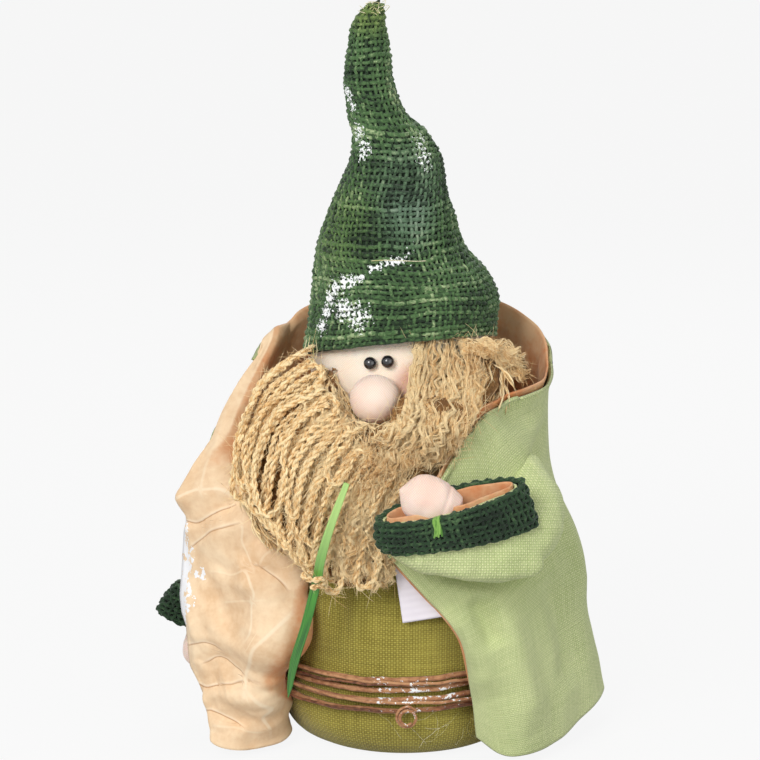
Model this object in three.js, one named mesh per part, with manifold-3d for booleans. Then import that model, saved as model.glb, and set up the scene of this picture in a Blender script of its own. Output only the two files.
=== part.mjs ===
// A standing fabric santa figure: a weighted linen body, a stuffed head under a tall burlap hat,
// a beard of looped and frayed jute, and a paper-lined linen coat whose right front is turned back.
// Millimetres, +Z up. The origin is the centre of the flat base, -Y is the figure's front and
// left and right are the figure's own, so its left hand is on the +X side.

import * as THREE from "three";
import { mergeVertices } from "three/addons/utils/BufferGeometryUtils.js";
import Module from "manifold-3d";

const clearance = 0.3; // kept between pieces that touch

// Body: a linen sack over a card disc, a sand bag and filling.
const bodyRadius = 45;
const baseRadius = 32;
const neckRadius = 17;
const bodyHeight = 104;
const widestHeight = 18;
const beltHeight = 19.2; // of the lowest turn of vine
const coverWall = 1;
const discThickness = 2.4;
const sandHeight = 20;

// Head: a stuffed ball with a soft nose and two glass beads.
const headRadius = 31;
const headShift = -2; // towards the figure's right
const skinWall = 1;
const noseRadius = 8.6;
const eyeRadius = 2.2;

// Hat: a tall crooked cone of stiff burlap.
const hatWall = 1.4;
const hatEase = 0.8; // room between the head and the hat
const hatHeight = 116; // from the brim to the tip
const brimRise = 6.5; // of the brim over the head's centre
const brimTilt = new THREE.Vector2(0.1, -0.24); // rise per millimetre along X and along Y

// Coat: linen outside and crumpled paper cloth inside.
const shellWall = 0.9;
const liningWall = 0.6;
const sheetGap = 0.5; // between the linen and its lining
const shoulderRadius = 9.5;

// Arms.
const sleeveWall = 0.8;
const sleeveLiningWall = 0.5;
const cuffWall = 1.7;
const leftCuffHeight = 11;
const rightCuffLength = 12;
const handRadius = 8.2;
const armWireRadius = 0.9;
const leftSwing = 25; // degrees the left arm swings forward from the coat's front
const rightSwing = 25; // degrees the right arm swings out from the coat's side

// Jute, vine, grass and tag.
const twineRadius = 1.25;
const twineLoops = 6;
const vineRadius = 0.95;
const vineTurns = 3;
const vinePitch = 3.6;
const tendrilRadius = 0.55;
const bladeWidth = 3.2;
const bladeThickness = 0.9;
const tagSize = new THREE.Vector3(16, 0.5, 20);

const wasm = await Module();
wasm.setup();
const { Manifold, Mesh: SolidMesh } = wasm;

const at = (x, y, z) => new THREE.Vector3(x, y, z);
const overNeck = (x, y, rise) => at(x, y, bodyHeight + rise);
const mix = (a, b, share) => a + (b - a) * share;
const curveThrough = (...points) => new THREE.CatmullRomCurve3(points, false, "catmullrom", 0.5);
const radians = THREE.MathUtils.degToRad;

// A closed solid from a three.js geometry, with its faces pointing out.
function solidOf(geometry) {
  const bare = geometry.clone();
  bare.deleteAttribute("normal");
  bare.deleteAttribute("uv");
  const merged = mergeVertices(bare, 1e-4);
  const vertProperties = merged.attributes.position.array;
  const triVerts = new Uint32Array(merged.index.array);
  const made = new Manifold(new SolidMesh({ numProp: 3, vertProperties, triVerts }));
  if (made.volume() >= 0) return made;
  for (let i = 0; i < triVerts.length; i += 3) {
    [triVerts[i + 1], triVerts[i + 2]] = [triVerts[i + 2], triVerts[i + 1]];
  }
  return new Manifold(new SolidMesh({ numProp: 3, vertProperties, triVerts }));
}

function geometryOf(solid) {
  const mesh = solid.getMesh();
  const positions = new Float32Array(mesh.numVert * 3);
  for (let i = 0; i < mesh.numVert; i++) {
    positions.set(mesh.vertProperties.subarray(i * mesh.numProp, i * mesh.numProp + 3), i * 3);
  }
  const geometry = new THREE.BufferGeometry();
  geometry.setAttribute("position", new THREE.BufferAttribute(positions, 3));
  geometry.setIndex(new THREE.BufferAttribute(mesh.triVerts, 1));
  geometry.computeVertexNormals();
  return geometry;
}

function solidFrom(points, faces) {
  const geometry = new THREE.BufferGeometry();
  geometry.setAttribute("position", new THREE.Float32BufferAttribute(points.flatMap((p) => p.toArray()), 3));
  geometry.setIndex(faces.flat());
  return solidOf(geometry);
}

// The piece of a cut form that is worth keeping.
function largest(solid) {
  const pieces = solid.decompose();
  return pieces.reduce((best, piece) => (piece.volume() > best.volume() ? piece : best));
}

const cut = (solid, ...cutters) => largest(cutters.reduce((left, cutter) => left.subtract(cutter), solid));

// A solid through rings of points that all have the same number of points, closed by a fan at each end.
function loft(rings) {
  const sides = rings[0].length;
  const points = rings.flat();
  const faces = [];
  for (let ring = 0; ring < rings.length - 1; ring++) {
    for (let side = 0; side < sides; side++) {
      const a = ring * sides + side;
      const b = ring * sides + ((side + 1) % sides);
      faces.push([a, b, b + sides], [a, b + sides, a + sides]);
    }
  }
  const middle = (ring) => ring.reduce((sum, p) => sum.add(p), at(0, 0, 0)).divideScalar(sides);
  const start = points.push(middle(rings[0])) - 1;
  const end = points.push(middle(rings.at(-1))) - 1;
  const last = (rings.length - 1) * sides;
  for (let side = 0; side < sides; side++) {
    const next = (side + 1) % sides;
    faces.push([start, next, side], [end, last + side, last + next]);
  }
  return solidFrom(points, faces);
}

// An ellipse of points about a centre, in the plane of two directions.
function ellipse(centre, along, across, a, b, sides) {
  return Array.from({ length: sides }, (_, i) => {
    const turn = (2 * Math.PI * i) / sides;
    const place = centre.clone().addScaledVector(along, a * Math.cos(turn));
    return place.addScaledVector(across, b * Math.sin(turn));
  });
}

const flatEllipse = (centre, a, b, sides) => ellipse(centre, at(1, 0, 0), at(0, 1, 0), a, b, sides);

// Rings of a limb that swells and tapers along a path. Each station is [x, y, z, radius].
function limb(stations, grow, sides, steps) {
  const path = curveThrough(...stations.map(([x, y, z]) => at(x, y, z)));
  const sizes = new THREE.SplineCurve(stations.map(([, , , radius], i) => new THREE.Vector2(i, radius)));
  const frames = path.computeFrenetFrames(steps, false);
  return Array.from({ length: steps + 1 }, (_, i) => {
    const share = path.getUtoTmapping(i / steps);
    const radius = Math.max(sizes.getPoint(share).y + grow, 0.2);
    return ellipse(path.getPoint(share), frames.normals[i], frames.binormals[i], radius, radius, sides);
  });
}

function ball(centre, a, b, c, around, up) {
  const geometry = new THREE.SphereGeometry(1, around, up);
  geometry.rotateX(Math.PI / 2);
  geometry.scale(a, b, c);
  geometry.translate(centre.x, centre.y, centre.z);
  return solidOf(geometry);
}

function tube(curve, radius, sides, steps) {
  const section = new THREE.Shape();
  section.absarc(0, 0, radius, 0, 2 * Math.PI, false);
  const options = { extrudePath: curve, steps, curveSegments: sides / 2, bevelEnabled: false };
  return solidOf(new THREE.ExtrudeGeometry(section, options));
}

function revolve(profile, segments) {
  const geometry = new THREE.LatheGeometry(profile.map(([r, z]) => new THREE.Vector2(r, z)), segments);
  geometry.rotateX(Math.PI / 2);
  return solidOf(geometry);
}

// The least gap of a wound tube to itself, measured between its points.
function leastGap(name, curve, radius, loops) {
  const points = curve.getSpacedPoints(loops * 60);
  const step = curve.getLength() / (loops * 60);
  const near = Math.ceil((Math.PI * radius * 1.6) / step);
  let least = Infinity;
  for (let i = 0; i < points.length; i++) {
    for (let k = i + near; k < points.length; k++) {
      least = Math.min(least, points[i].distanceTo(points[k]) - 2 * radius);
    }
  }
  console.log(`${name}: least gap to itself ${least.toFixed(2)} mm`);
}

// Radius of the body's outside at a height: rounded at the foot, drawn in at the neck.
function bodyRadiusAt(z, grow = 0) {
  const high = THREE.MathUtils.clamp(z, 0, bodyHeight);
  if (high <= widestHeight) {
    const share = 1 - high / widestHeight;
    return baseRadius + (bodyRadius - baseRadius) * Math.sqrt(1 - share ** 2.6) + grow;
  }
  const share = (high - widestHeight) / (bodyHeight - widestHeight);
  return neckRadius + (bodyRadius - neckRadius) * (1 - share ** 3.2) ** 0.625 + grow;
}

const bodySides = 20;
const bodyLevels = [0, 0.02, 0.07, 0.17, 0.4, 0.6, 0.76, 0.88, 0.96, 1].map((h) => h * bodyHeight);

function bodyForm(grow) {
  const profile = bodyLevels.map((z) => [bodyRadiusAt(z, grow), z]);
  return revolve([[0, -grow], [baseRadius, -grow], ...profile.slice(1), [0, bodyHeight + grow]], bodySides);
}

const headCentre = at(headShift, 0, bodyHeight + Math.sqrt(headRadius ** 2 - neckRadius ** 2) + clearance);
const headForm = (grow, around = 16, up = 9) =>
  ball(headCentre, headRadius + grow, headRadius + grow, headRadius + grow, around, up);

function onHead(turn, rise, out) {
  const direction = at(Math.sin(radians(turn)), -Math.cos(radians(turn)), Math.tan(radians(rise)));
  return headCentre.clone().addScaledVector(direction.normalize(), headRadius + out);
}

function bodyParts() {
  const inside = -coverWall - clearance;
  const floor = coverWall + clearance;
  const sack = cut(bodyForm(0), headForm(clearance), bodyForm(-coverWall));
  const neckHole = cut(sack, ball(at(headShift, 0, bodyHeight), neckRadius - 3, neckRadius - 3, 8, 16, 6));
  const discTop = floor + discThickness;
  const discRadius = baseRadius - coverWall - clearance;
  const disc = revolve([[0, floor], [discRadius, floor], [discRadius, discTop], [0, discTop]], bodySides);
  const sandFloor = discTop + clearance;
  const sandTop = sandFloor + sandHeight;
  const slab = (low, high) =>
    revolve([[0, low], [bodyRadius, low], [bodyRadius, high], [0, high]], bodySides);
  const room = bodyForm(inside);
  const sand = largest(room.intersect(slab(sandFloor, sandTop)));
  const filling = cut(room, slab(-floor, sandTop + clearance), headForm(clearance + skinWall));
  return { body_cover: neckHole, base_disc: disc, sand_bag: sand, body_filling: filling };
}

const noseCentre = onHead(-13, -6.5, 6.2);

function headParts() {
  const neckHole = ball(at(headShift, 0, headCentre.z - headRadius), 9, 9, 5, 16, 6);
  const cover = cut(headForm(0), headForm(-skinWall), neckHole);
  const filling = headForm(-skinWall - 4 * clearance, 14, 8);
  const nose = cut(ball(noseCentre, noseRadius, noseRadius, noseRadius * 0.97, 14, 8), headForm(clearance));
  const eye = (turn, rise) => {
    const bead = ball(onHead(turn, rise, eyeRadius * 0.55), eyeRadius, eyeRadius, eyeRadius, 10, 6);
    return cut(bead, headForm(clearance));
  };
  const eyes = { right_eye: eye(-18.5, 12), left_eye: eye(-7.5, 13.5) };
  return { face_cover: cover, head_filling: filling, nose, ...eyes };
}

// Stations of the hat: share of its height, sideways shift from the brim's centre, radius.
const brimRadius = headRadius + hatEase + hatWall + clearance;
const hatStations = [
  [0, 0, brimRadius + 0.6],
  [0.13, 1.6, 33.2],
  [0.21, 0.4, 31],
  [0.3, -3, 26.4],
  [0.42, -3, 21.8],
  [0.5, -2.2, 18.6],
  [0.57, -1.6, 16.4],
  [0.63, -3, 14.2],
  [0.69, -7.6, 10.8],
  [0.78, -10.4, 9.6],
  [0.86, -10.8, 8.6],
  [0.94, -11, 6.8],
  [0.98, -10, 5.2],
  [1, -9.2, 3.6],
];

const hatShares = [0, 0.06, 0.13, 0.21, 0.3, 0.36, 0.42, 0.5, 0.57, 0.63, 0.69, 0.78, 0.86, 0.94, 0.98, 1];

// Rings of the hat at its own levels between two shares of its height, and at those two shares.
function hatRings(inset, from, to, sides) {
  const shift = new THREE.SplineCurve(hatStations.map(([h, x]) => new THREE.Vector2(h, x)));
  const size = new THREE.SplineCurve(hatStations.map(([h, , r]) => new THREE.Vector2(h, r)));
  const read = (curve, share) => {
    const index = hatStations.findIndex(([h]) => h >= share - 1e-9);
    if (index <= 0) return curve.points[0].y;
    const [low, high] = [hatStations[index - 1][0], hatStations[index][0]];
    return curve.getPoint((index - 1 + (share - low) / (high - low)) / (hatStations.length - 1)).y;
  };
  const levels = [from, ...hatShares.filter((share) => share > from + 0.01 && share < to - 0.01), to];
  return levels.map((share) => {
    const radius = Math.max(read(size, Math.max(share, 0)) - inset, 0.6);
    const tilt = Math.max(0, 1 - Math.max(share, 0) / 0.3);
    const x = headCentre.x + read(shift, Math.max(share, 0));
    const centre = at(x, 0, headCentre.z + brimRise + share * hatHeight);
    const ring = flatEllipse(centre, radius, radius, sides);
    ring.forEach((p) => (p.z += tilt * (brimTilt.x * (p.x - centre.x) + brimTilt.y * p.y)));
    return ring;
  });
}

function hatParts() {
  const thinTip = 0.94;
  const shell = cut(loft(hatRings(0, 0, 1, 16)), loft(hatRings(hatWall, -0.03, thinTip, 16)));
  const filling = cut(loft(hatRings(hatWall + clearance, 0.02, thinTip - 0.03, 16)), headForm(clearance));
  return { hat: cut(shell, headForm(clearance)), hat_filling: filling };
}

// Coat: ribs from the hem to the top edge, from the left front edge round the back to the fold and
// on to the free edge of the turned-back front. Each point is [degrees from +X, room outside the
// body's widest radius, share of the body's height].
const coatRibs = [
  [[-61, 6, 0.096], [-64, 5, 0.288], [-69, 4.5, 0.452], [-83, 4.3, 0.591], [-97, 6, 0.731]],
  [[-56, 14, 0.048], [-58, 9, 0.269], [-62, 7, 0.471], [-70, 6, 0.683], [-85, 5, 0.87]],
  [[-49, 16.5, 0.038], [-50, 12, 0.288], [-52, 9, 0.538], [-58, 7, 0.788], [-72, 2.5, 1.029]],
  [[-36, 15.5, 0.034], [-37, 13, 0.308], [-40, 10, 0.587], [-45, 6, 0.875], [-57, -1.5, 1.163]],
  [[-20, 18, 0.062], [-20, 16.5, 0.337], [-23, 11.5, 0.635], [-27, 5, 0.933], [-40, -2, 1.192]],
  [[0, 24.5, 0.115], [-1, 19.5, 0.365], [-3, 15, 0.644], [-7, 3.5, 0.904], [-13, 2, 1.231]],
  [[28, 19, 0.067], [26, 13, 0.385], [22, 9, 0.692], [16, 4.5, 1], [9, 4, 1.317]],
  [[58, 14, 0.048], [56, 8, 0.404], [52, 3, 0.74], [46, 0, 1.067], [37, -2.5, 1.404]],
  [[92, 12, 0.038], [90, 6, 0.404], [88, 2, 0.75], [86, -3, 1.087], [80, -3, 1.442]],
  [[125, 11, 0.038], [125, 6, 0.404], [125, 2, 0.75], [125, -3, 1.077], [121, -3.5, 1.413]],
  [[154, 8, 0.038], [156, 5, 0.375], [156, 3, 0.712], [155, 4, 1.038], [149, -3, 1.385]],
  [[178, 5.5, 0.038], [182, 4.5, 0.346], [184, 5, 0.663], [178, 9, 0.99], [157, -1.5, 1.354]],
  [[197, 5, 0.034], [203, 6, 0.298], [212, 5, 0.596], [193, 13.5, 0.942], [165, 1, 1.349]],
  [[208, 8, 0.029], [213, 15, 0.279], [224, 6.5, 0.606], [194, 19.5, 0.952], [169, 3.2, 1.334]],
  [[210, 22, 0.015], [206, 23, 0.288], [210, 18, 0.587], [191, 23.5, 0.933], [173, 5.4, 1.313]],
  [[205, 27, 0.058], [197, 32.5, 0.317], [193, 31.5, 0.577], [189.5, 26, 0.923], [176.5, 6.8, 1.286]],
];

function ribPoint([angle, room, share]) {
  const radius = bodyRadius + room;
  return at(radius * Math.cos(radians(angle)), radius * Math.sin(radians(angle)), share * bodyHeight);
}

const ribCurves = coatRibs.map((rib) => curveThrough(...rib.map(ribPoint)));
const coatRow = (up) => curveThrough(...ribCurves.map((rib) => rib.getPoint(up)));

// The coat's middle surface, between its linen and its lining, with its outward direction.
function coatPoint(round, up) {
  const small = 0.004;
  const [u0, u1] = [Math.max(0, round - small), Math.min(1, round + small)];
  const [v0, v1] = [Math.max(0, up - small), Math.min(1, up + small)];
  const place = coatRow(up).getPoint(round);
  const alongRound = coatRow(up).getPoint(u1).sub(coatRow(up).getPoint(u0));
  const alongUp = coatRow(v1).getPoint(round).sub(coatRow(v0).getPoint(round));
  return { place, out: alongRound.cross(alongUp).normalize() };
}

const coatColumns = 36;
const coatRows = 10;
const coatRoom = clearance + sheetGap / 2;
const turnedBackFrom = 0.72; // share of the way round at which the turned-back front starts
const columnsBefore = 0.5; // share of the columns that stand before it

// How far round each column stands: they are closer together in the turned-back front.
function coatRound(share) {
  if (share < columnsBefore) return (share * turnedBackFrom) / columnsBefore;
  return turnedBackFrom + ((share - columnsBefore) * (1 - turnedBackFrom)) / (1 - columnsBefore);
}

// A sheet of the coat between two distances out from its middle surface. It may run past the rim.
function coatSheet(low, high, columns, rows, past = 0) {
  const points = [];
  for (let row = 0; row <= rows; row++) {
    for (let column = 0; column <= columns; column++) {
      const round = coatRound(column / columns);
      const { place, out } = coatPoint(round, row / rows);
      if (row === rows && past > 0) {
        const below = coatPoint(round, 1 - 0.2 / rows).place;
        place.addScaledVector(place.clone().sub(below).normalize(), past);
      }
      points.push(place.clone().addScaledVector(out, high), place.clone().addScaledVector(out, low));
    }
  }
  const index = (column, row, side) => 2 * (row * (columns + 1) + column) + side;
  const faces = [];
  const quad = (a, b, c, d) => faces.push([a, b, c], [a, c, d]);
  for (let row = 0; row < rows; row++) {
    for (let column = 0; column < columns; column++) {
      const corners = [[column, row], [column + 1, row], [column + 1, row + 1], [column, row + 1]];
      quad(...corners.map(([c, r]) => index(c, r, 0)));
      quad(...[0, 3, 2, 1].map((i) => index(...corners[i], 1)));
    }
    quad(index(0, row, 1), index(0, row, 0), index(0, row + 1, 0), index(0, row + 1, 1));
    const far = [[row, 0], [row, 1], [row + 1, 1], [row + 1, 0]];
    quad(...far.map(([r, side]) => index(columns, r, side)));
  }
  for (let column = 0; column < columns; column++) {
    quad(index(column, 0, 0), index(column, 0, 1), index(column + 1, 0, 1), index(column + 1, 0, 0));
    const top = [[column, 1], [column, 0], [column + 1, 0], [column + 1, 1]];
    quad(...top.map(([c, side]) => index(c, rows, side)));
  }
  return solidFrom(points, faces);
}

const coatKeepOut = coatSheet(-liningWall - coatRoom, shellWall + coatRoom, coatColumns, coatRows, 1);

const leftShoulder = at(bodyRadius - 5, 22 - bodyRadius, bodyHeight - 8);
const rightShoulder = at(-bodyRadius - 4, 4, bodyHeight - 4);

function coatParts() {
  const armholes = [...armRoom(leftSleeve, leftShoulder), ...armRoom(rightSleeve, rightShoulder)];
  const shell = coatSheet(sheetGap / 2, sheetGap / 2 + shellWall, coatColumns, coatRows);
  const lining = coatSheet(-sheetGap / 2 - liningWall, -sheetGap / 2, coatColumns, coatRows);
  const cutLining = cut(lining, bodyForm(clearance), ...armholes);
  return { coat_shell: cut(shell, ...armholes), coat_lining: cutLining };
}

const offsetFrom = (s, [x, y, z, ...sizes]) => [x + s.x, y + s.y, z + s.z, ...sizes];
const stationsFrom = (shoulder, stations) => stations.map((station) => offsetFrom(shoulder, station));
const placeFrom = (shoulder, ...offset) => at(...offsetFrom(shoulder, offset));

// A sleeve is a stack of flat ellipses, each [x, y, z, half width, half depth] from its shoulder,
// whose planes lean and turn more and more towards the mouth, which is the last of them.
const leftSleeve = {
  stations: stationsFrom(leftShoulder, [
    [-9, -35.5, -28, 8, 2.4],
    [-10, -36, -25.5, 15, 5],
    [-16, -37, -20, 21.5, 6.8],
    [-21, -38, -13, 24.2, 7.2],
    [-24, -38.5, -6, 23.6, 7],
    [-25.5, -38.5, 1, 22.6, 6.6],
  ]),
  rise: 0.22,
  tilt: 0.3,
  yaw: 0.16,
  upper: stationsFrom(leftShoulder, [[3, -12, -7, 10.5], [1, -24, -13, 11], [-9, -36.5, -15, 5.5]]),
  swing: [0, 0, leftSwing],
};
const rightSleeve = {
  stations: stationsFrom(rightShoulder, [
    [-10.5, 1, -10, 9, 8.6],
    [-13, 2, -25, 9.6, 8.4],
    [-13.5, 3, -40, 10.2, 8.2],
    [-16.5, 4, -54, 13, 7.8],
    [-20.6, 5, -67.5, 15.8, 7],
  ]),
  rise: -0.5,
  tilt: 0,
  yaw: 0.55,
  upper: stationsFrom(rightShoulder, [[-5, 0.6, -3.5, 8.6], [-10, 1.2, -12, 7.5]]),
  swing: [0, rightSwing, 0],
};

function sleeveRings({ stations, rise, tilt, yaw }, grow, from, past, sides) {
  const used = stations.slice(from).map((station) => station.slice());
  const [last, before] = [used.at(-1), used.at(-2)];
  if (past) {
    const share = past / Math.abs(last[2] - before[2]);
    used.push(last.map((value, i) => (i < 3 ? value + (value - before[i]) * share : value)));
  }
  const first = stations[0][2];
  const span = last[2] - first;
  if (from === 0) used[0][2] -= Math.sign(span) * grow;
  return used.map(([x, y, z, a, b]) => {
    const share = THREE.MathUtils.clamp((z - first) / span, 0, 1.1);
    const ring = flatEllipse(at(x, y, z), Math.max(a + grow, 0.4), Math.max(b + grow, 0.4), sides);
    ring.forEach((p) => {
      const [dx, dy] = [p.x - x, p.y - y];
      p.z += share * (rise * dx + tilt * dy);
      p.y += yaw * dx;
    });
    return ring;
  });
}

function sleeveForm(sleeve, shoulder, grow, past = 0, sides = 14) {
  const s = shoulder;
  const upper = loft(limb([[s.x, s.y, s.z, shoulderRadius - 1], ...sleeve.upper], grow, 8, 3));
  const head = ball(s, ...Array(3).fill(shoulderRadius + grow), 8, 5);
  return loft(sleeveRings(sleeve, grow, 0, past, sides)).add(upper).add(head);
}

// The room a sleeve needs as its arm swings about its shoulder.
function armRoom(sleeve, shoulder) {
  const form = sleeveForm(sleeve, shoulder, 1.3 * clearance).translate(shoulder.clone().negate().toArray());
  return [0, 0.25, 0.5, 0.75, 1].map((share) =>
    form.rotate(sleeve.swing.map((angle) => angle * share)).translate(shoulder.toArray()),
  );
}

// The sleeve's opening on the coat's inside, turned towards the body's axis.
function shoulderHole(shoulder) {
  const inward = at(-shoulder.x, -shoulder.y, 0).normalize();
  const across = inward.clone().cross(at(0, 0, 1));
  const middle = (out) => shoulder.clone().addScaledVector(inward, out);
  const ring = (out) => ellipse(middle(out), across, at(0, 0, 1), 6, 6, 8);
  return loft([ring(2), ring(shoulderRadius * 2)]);
}

// A stuffed mitten whose stations run from its wrist to its rounded end.
function handForm(wrist, tip, radius, sides = 14) {
  const spots = [0, 0.22, 0.45, 0.7, 0.88, 0.98];
  const sizes = [0.42, 0.66, 0.95, 1, 0.72, 0.28];
  const way = tip.clone().sub(wrist);
  const across = at(0, 1, 0).cross(way).normalize();
  const depth = way.clone().normalize().cross(across);
  return loft(
    spots.map((share, i) => {
      const size = radius * sizes[i];
      return ellipse(wrist.clone().addScaledVector(way, share), across, depth, size, size * 0.84, sides);
    }),
  );
}

const between = (a, b, share) => a.clone().lerp(b, share);

// Sleeve, lining, cuff, hand and wire of one arm. The route leads the wire from shoulder to hand.
function armParts(side, sleeve, shoulder, route, wrist, tip, radius, cuffLength, cuffCutters) {
  const liningOut = -sleeveWall - clearance;
  const liningIn = liningOut - sleeveLiningWall;
  const hole = shoulderHole(shoulder);
  const mouthRoom = (inset) => sleeveForm(sleeve, shoulder, inset, 5);
  const cuffStations = sleeve.stations.slice();
  const last = cuffStations.at(-1);
  const before = cuffStations.at(-2);
  const share = cuffLength / Math.abs(last[2] - before[2]);
  const foot = last.map((value, i) => value + (before[i] - value) * Math.min(share, 1));
  foot[2] = last[2] - Math.sign(last[2] - before[2]) * cuffLength;
  const band = (grow, past) => {
    const piece = { ...sleeve, stations: [cuffStations[0], foot, last] };
    return loft(sleeveRings(piece, grow, 1, past, 14));
  };
  const wallZone = sleeveForm(sleeve, shoulder, clearance).subtract(mouthRoom(liningIn - clearance));
  const cuffZone = band(cuffWall + 2 * clearance, 0).subtract(band(0, 5));
  const inHand = (share) => between(wrist, tip, share);
  const wireRoute = curveThrough(shoulder, ...route, inHand(-0.2), inHand(0.16));
  const socketRoute = curveThrough(inHand(-0.3), inHand(0.1), inHand(0.3));
  const socket = tube(socketRoute, armWireRadius + 2 * clearance, 8, 4);
  const made = {
    sleeve: cut(sleeveForm(sleeve, shoulder, 0), mouthRoom(-sleeveWall), hole),
    sleeve_lining: cut(sleeveForm(sleeve, shoulder, liningOut), mouthRoom(liningIn), hole),
    cuff: cut(band(cuffWall + clearance, 0), sleeveForm(sleeve, shoulder, clearance, 5), ...cuffCutters),
    hand: cut(handForm(wrist, tip, radius), wallZone, cuffZone, socket),
    arm_wire: cut(tube(wireRoute, armWireRadius, 6, 16), wallZone),
  };
  return Object.fromEntries(Object.entries(made).map(([name, solid]) => [`${side}_${name}`, solid]));
}

const leftWrist = placeFrom(leftShoulder, -23, -38, -2);
const leftTip = leftWrist.clone().add(at(-18.5, -1, 7.4));

function leftArmParts() {
  const notch = ball(placeFrom(leftShoulder, -34, -47, 1), 6, 5, 4, 12, 8);
  const bends = [[3, -11, -7], [1, -24, -13], [-7, -34, -12]];
  const route = bends.map((bend) => placeFrom(leftShoulder, ...bend));
  const hand = [leftWrist, leftTip, handRadius];
  const parts = armParts("left", leftSleeve, leftShoulder, route, ...hand, leftCuffHeight, [notch]);
  const tie = ball(placeFrom(leftShoulder, -30.5, -47.2, -5.5), 3.4, 2.2, 4, 10, 8);
  const band = ball(placeFrom(leftShoulder, -32, -39, -8), 30, 7.6 + cuffWall + clearance, 30, 24, 16);
  return { ...parts, left_cuff_tie: cut(tie, band, leftArmZone(cuffWall + 2 * clearance)) };
}

function leftArmZone(grow) {
  return sleeveForm(leftSleeve, leftShoulder, grow);
}

function rightArmParts() {
  const wrist = placeFrom(rightShoulder, -20, 4.5, -65);
  const tip = wrist.clone().add(at(-4, -1, -19));
  const route = [placeFrom(rightShoulder, -9, 1, -12), placeFrom(rightShoulder, -13.5, 3, -38)];
  const hand = [wrist, tip, handRadius * 0.95];
  return armParts("right", rightSleeve, rightShoulder, route, ...hand, rightCuffLength, []);
}

// The wire that joins both arms round the back of the neck. It stops short of each arm's own wire.
function yokeWire() {
  const besideRadius = bodyRadiusAt(bodyHeight - 4) + armWireRadius + 3;
  const neckBack = overNeck(headShift, neckRadius + 8, -1);
  const inward = (s, distance) => s.clone().addScaledVector(at(-s.x, -s.y, 0).normalize(), distance);
  const ends = (s) => [inward(s, 2 * armWireRadius + clearance), inward(s, shoulderRadius + 3)];
  const [right, left] = [ends(rightShoulder), ends(leftShoulder).reverse()];
  const beside = overNeck(besideRadius * Math.cos(radians(16)), besideRadius * Math.sin(radians(16)), -4);
  return tube(curveThrough(...right, neckBack, beside, ...left), armWireRadius, 6, 20);
}

// Beard: a mass of frayed jute. Each station is [x, y, rise over the body's top, half width, half depth].
const beardStations = [
  [-15, -46, -42, 9, 3.5],
  [-18, -45, -37, 15, 6],
  [-23, -42, -28, 22, 9],
  [-25, -39, -17, 29, 12],
  [-23, -36, -6, 34, 14],
  [-18, -32, 5, 37, 17],
  [-10, -29, 16, 40, 17],
  [-2, -24, 25, 37, 16],
  [5, -18, 32, 30, 13],
  [9, -13, 37, 24, 9],
];
const beardForm = (grow) => {
  const ring = ([x, y, rise, a, b]) => flatEllipse(overNeck(x, y, rise), a + grow, b + grow, 16);
  return loft(beardStations.map(ring));
};

// How far forward the beard stands at a place in the front view.
function beardFront(x, rise) {
  const found = beardStations.findIndex((station) => station[2] >= rise);
  const index = THREE.MathUtils.clamp(found, 1, beardStations.length - 1);
  const [low, high] = [beardStations[index - 1], beardStations[index]];
  const share = THREE.MathUtils.clamp((rise - low[2]) / (high[2] - low[2]), 0, 1);
  const [cx, cy, , a, b] = low.map((value, i) => mix(value, high[i], share));
  return cy - b * Math.sqrt(1 - Math.min(Math.abs(x - cx) / a, 0.94) ** 2);
}

// Twine loops hang from the cheek line; their bends make the beard's edge. Points are [x, rise over
// the body's top].
const plane = (...points) => new THREE.SplineCurve(points.map(([x, rise]) => new THREE.Vector2(x, rise)));
const cheekLine = plane([-34, 35], [-27, 26], [-22, 17], [-17, 9], [-9, 3], [0, -2]);
const shoulderLine = plane([-50, 24], [-44, 14], [-35, 4], [-26, -4], [-16, -10], [-6, -14]);
const bendLine = plane([-58, -4], [-53, -12], [-44, -18], [-35, -29], [-24, -38], [-11, -39]);

function twineRoute() {
  const legs = 2 * twineLoops;
  const points = [];
  for (let leg = 0; leg < legs; leg++) {
    const share = leg / (legs - 1);
    const drop = leg % 4 < 2 ? 0 : 3;
    const layer = leg % 4 < 2 ? 0 : 0.6;
    const [top, middle, low] = [cheekLine, shoulderLine, bendLine].map((line) => line.getPointAt(share));
    const path = plane([top.x, top.y], [middle.x, middle.y], [low.x, low.y + drop]);
    const places = [0, 0.3, 0.62, 1].map((t) => {
      const { x, y: rise } = path.getPoint(t);
      return overNeck(x, beardFront(x, rise) - twineRadius - clearance - 1.2 - layer, rise);
    });
    points.push(...(leg % 2 ? places.reverse() : places));
  }
  return curveThrough(...points);
}

function beardParts() {
  const nose = ball(noseCentre, ...Array(3).fill(noseRadius + clearance), 16, 10);
  const face = ball(overNeck(-12, -45, 33.5), 17, 30, 17, 18, 12);
  const hatRoom = loft(hatRings(-clearance, -0.04, 0.2, 16));
  const armZone = leftArmZone(cuffWall + 2 * clearance);
  const hand = handForm(leftWrist, leftTip, handRadius + clearance);
  const keepOut = [headForm(clearance), bodyForm(clearance), coatKeepOut, nose, hatRoom, armZone, hand];
  const route = twineRoute();
  leastGap("beard_twine", route, twineRadius, twineLoops);
  const twineSteps = twineLoops * 22;
  const twine = tube(route, twineRadius, 6, twineSteps);
  const twineRoom = tube(route, twineRadius + clearance, 6, twineSteps);
  const wing = ball(overNeck(8, -42, 16), 17, 9, 11, 14, 8);
  const moustache = wing.add(ball(overNeck(-7, -46, 10), 9, 6, 7, 12, 6));
  return {
    beard: cut(beardForm(0), ...keepOut, face),
    moustache: cut(moustache, ...keepOut, beardForm(clearance), twineRoom),
    beard_twine: twine,
  };
}

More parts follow.
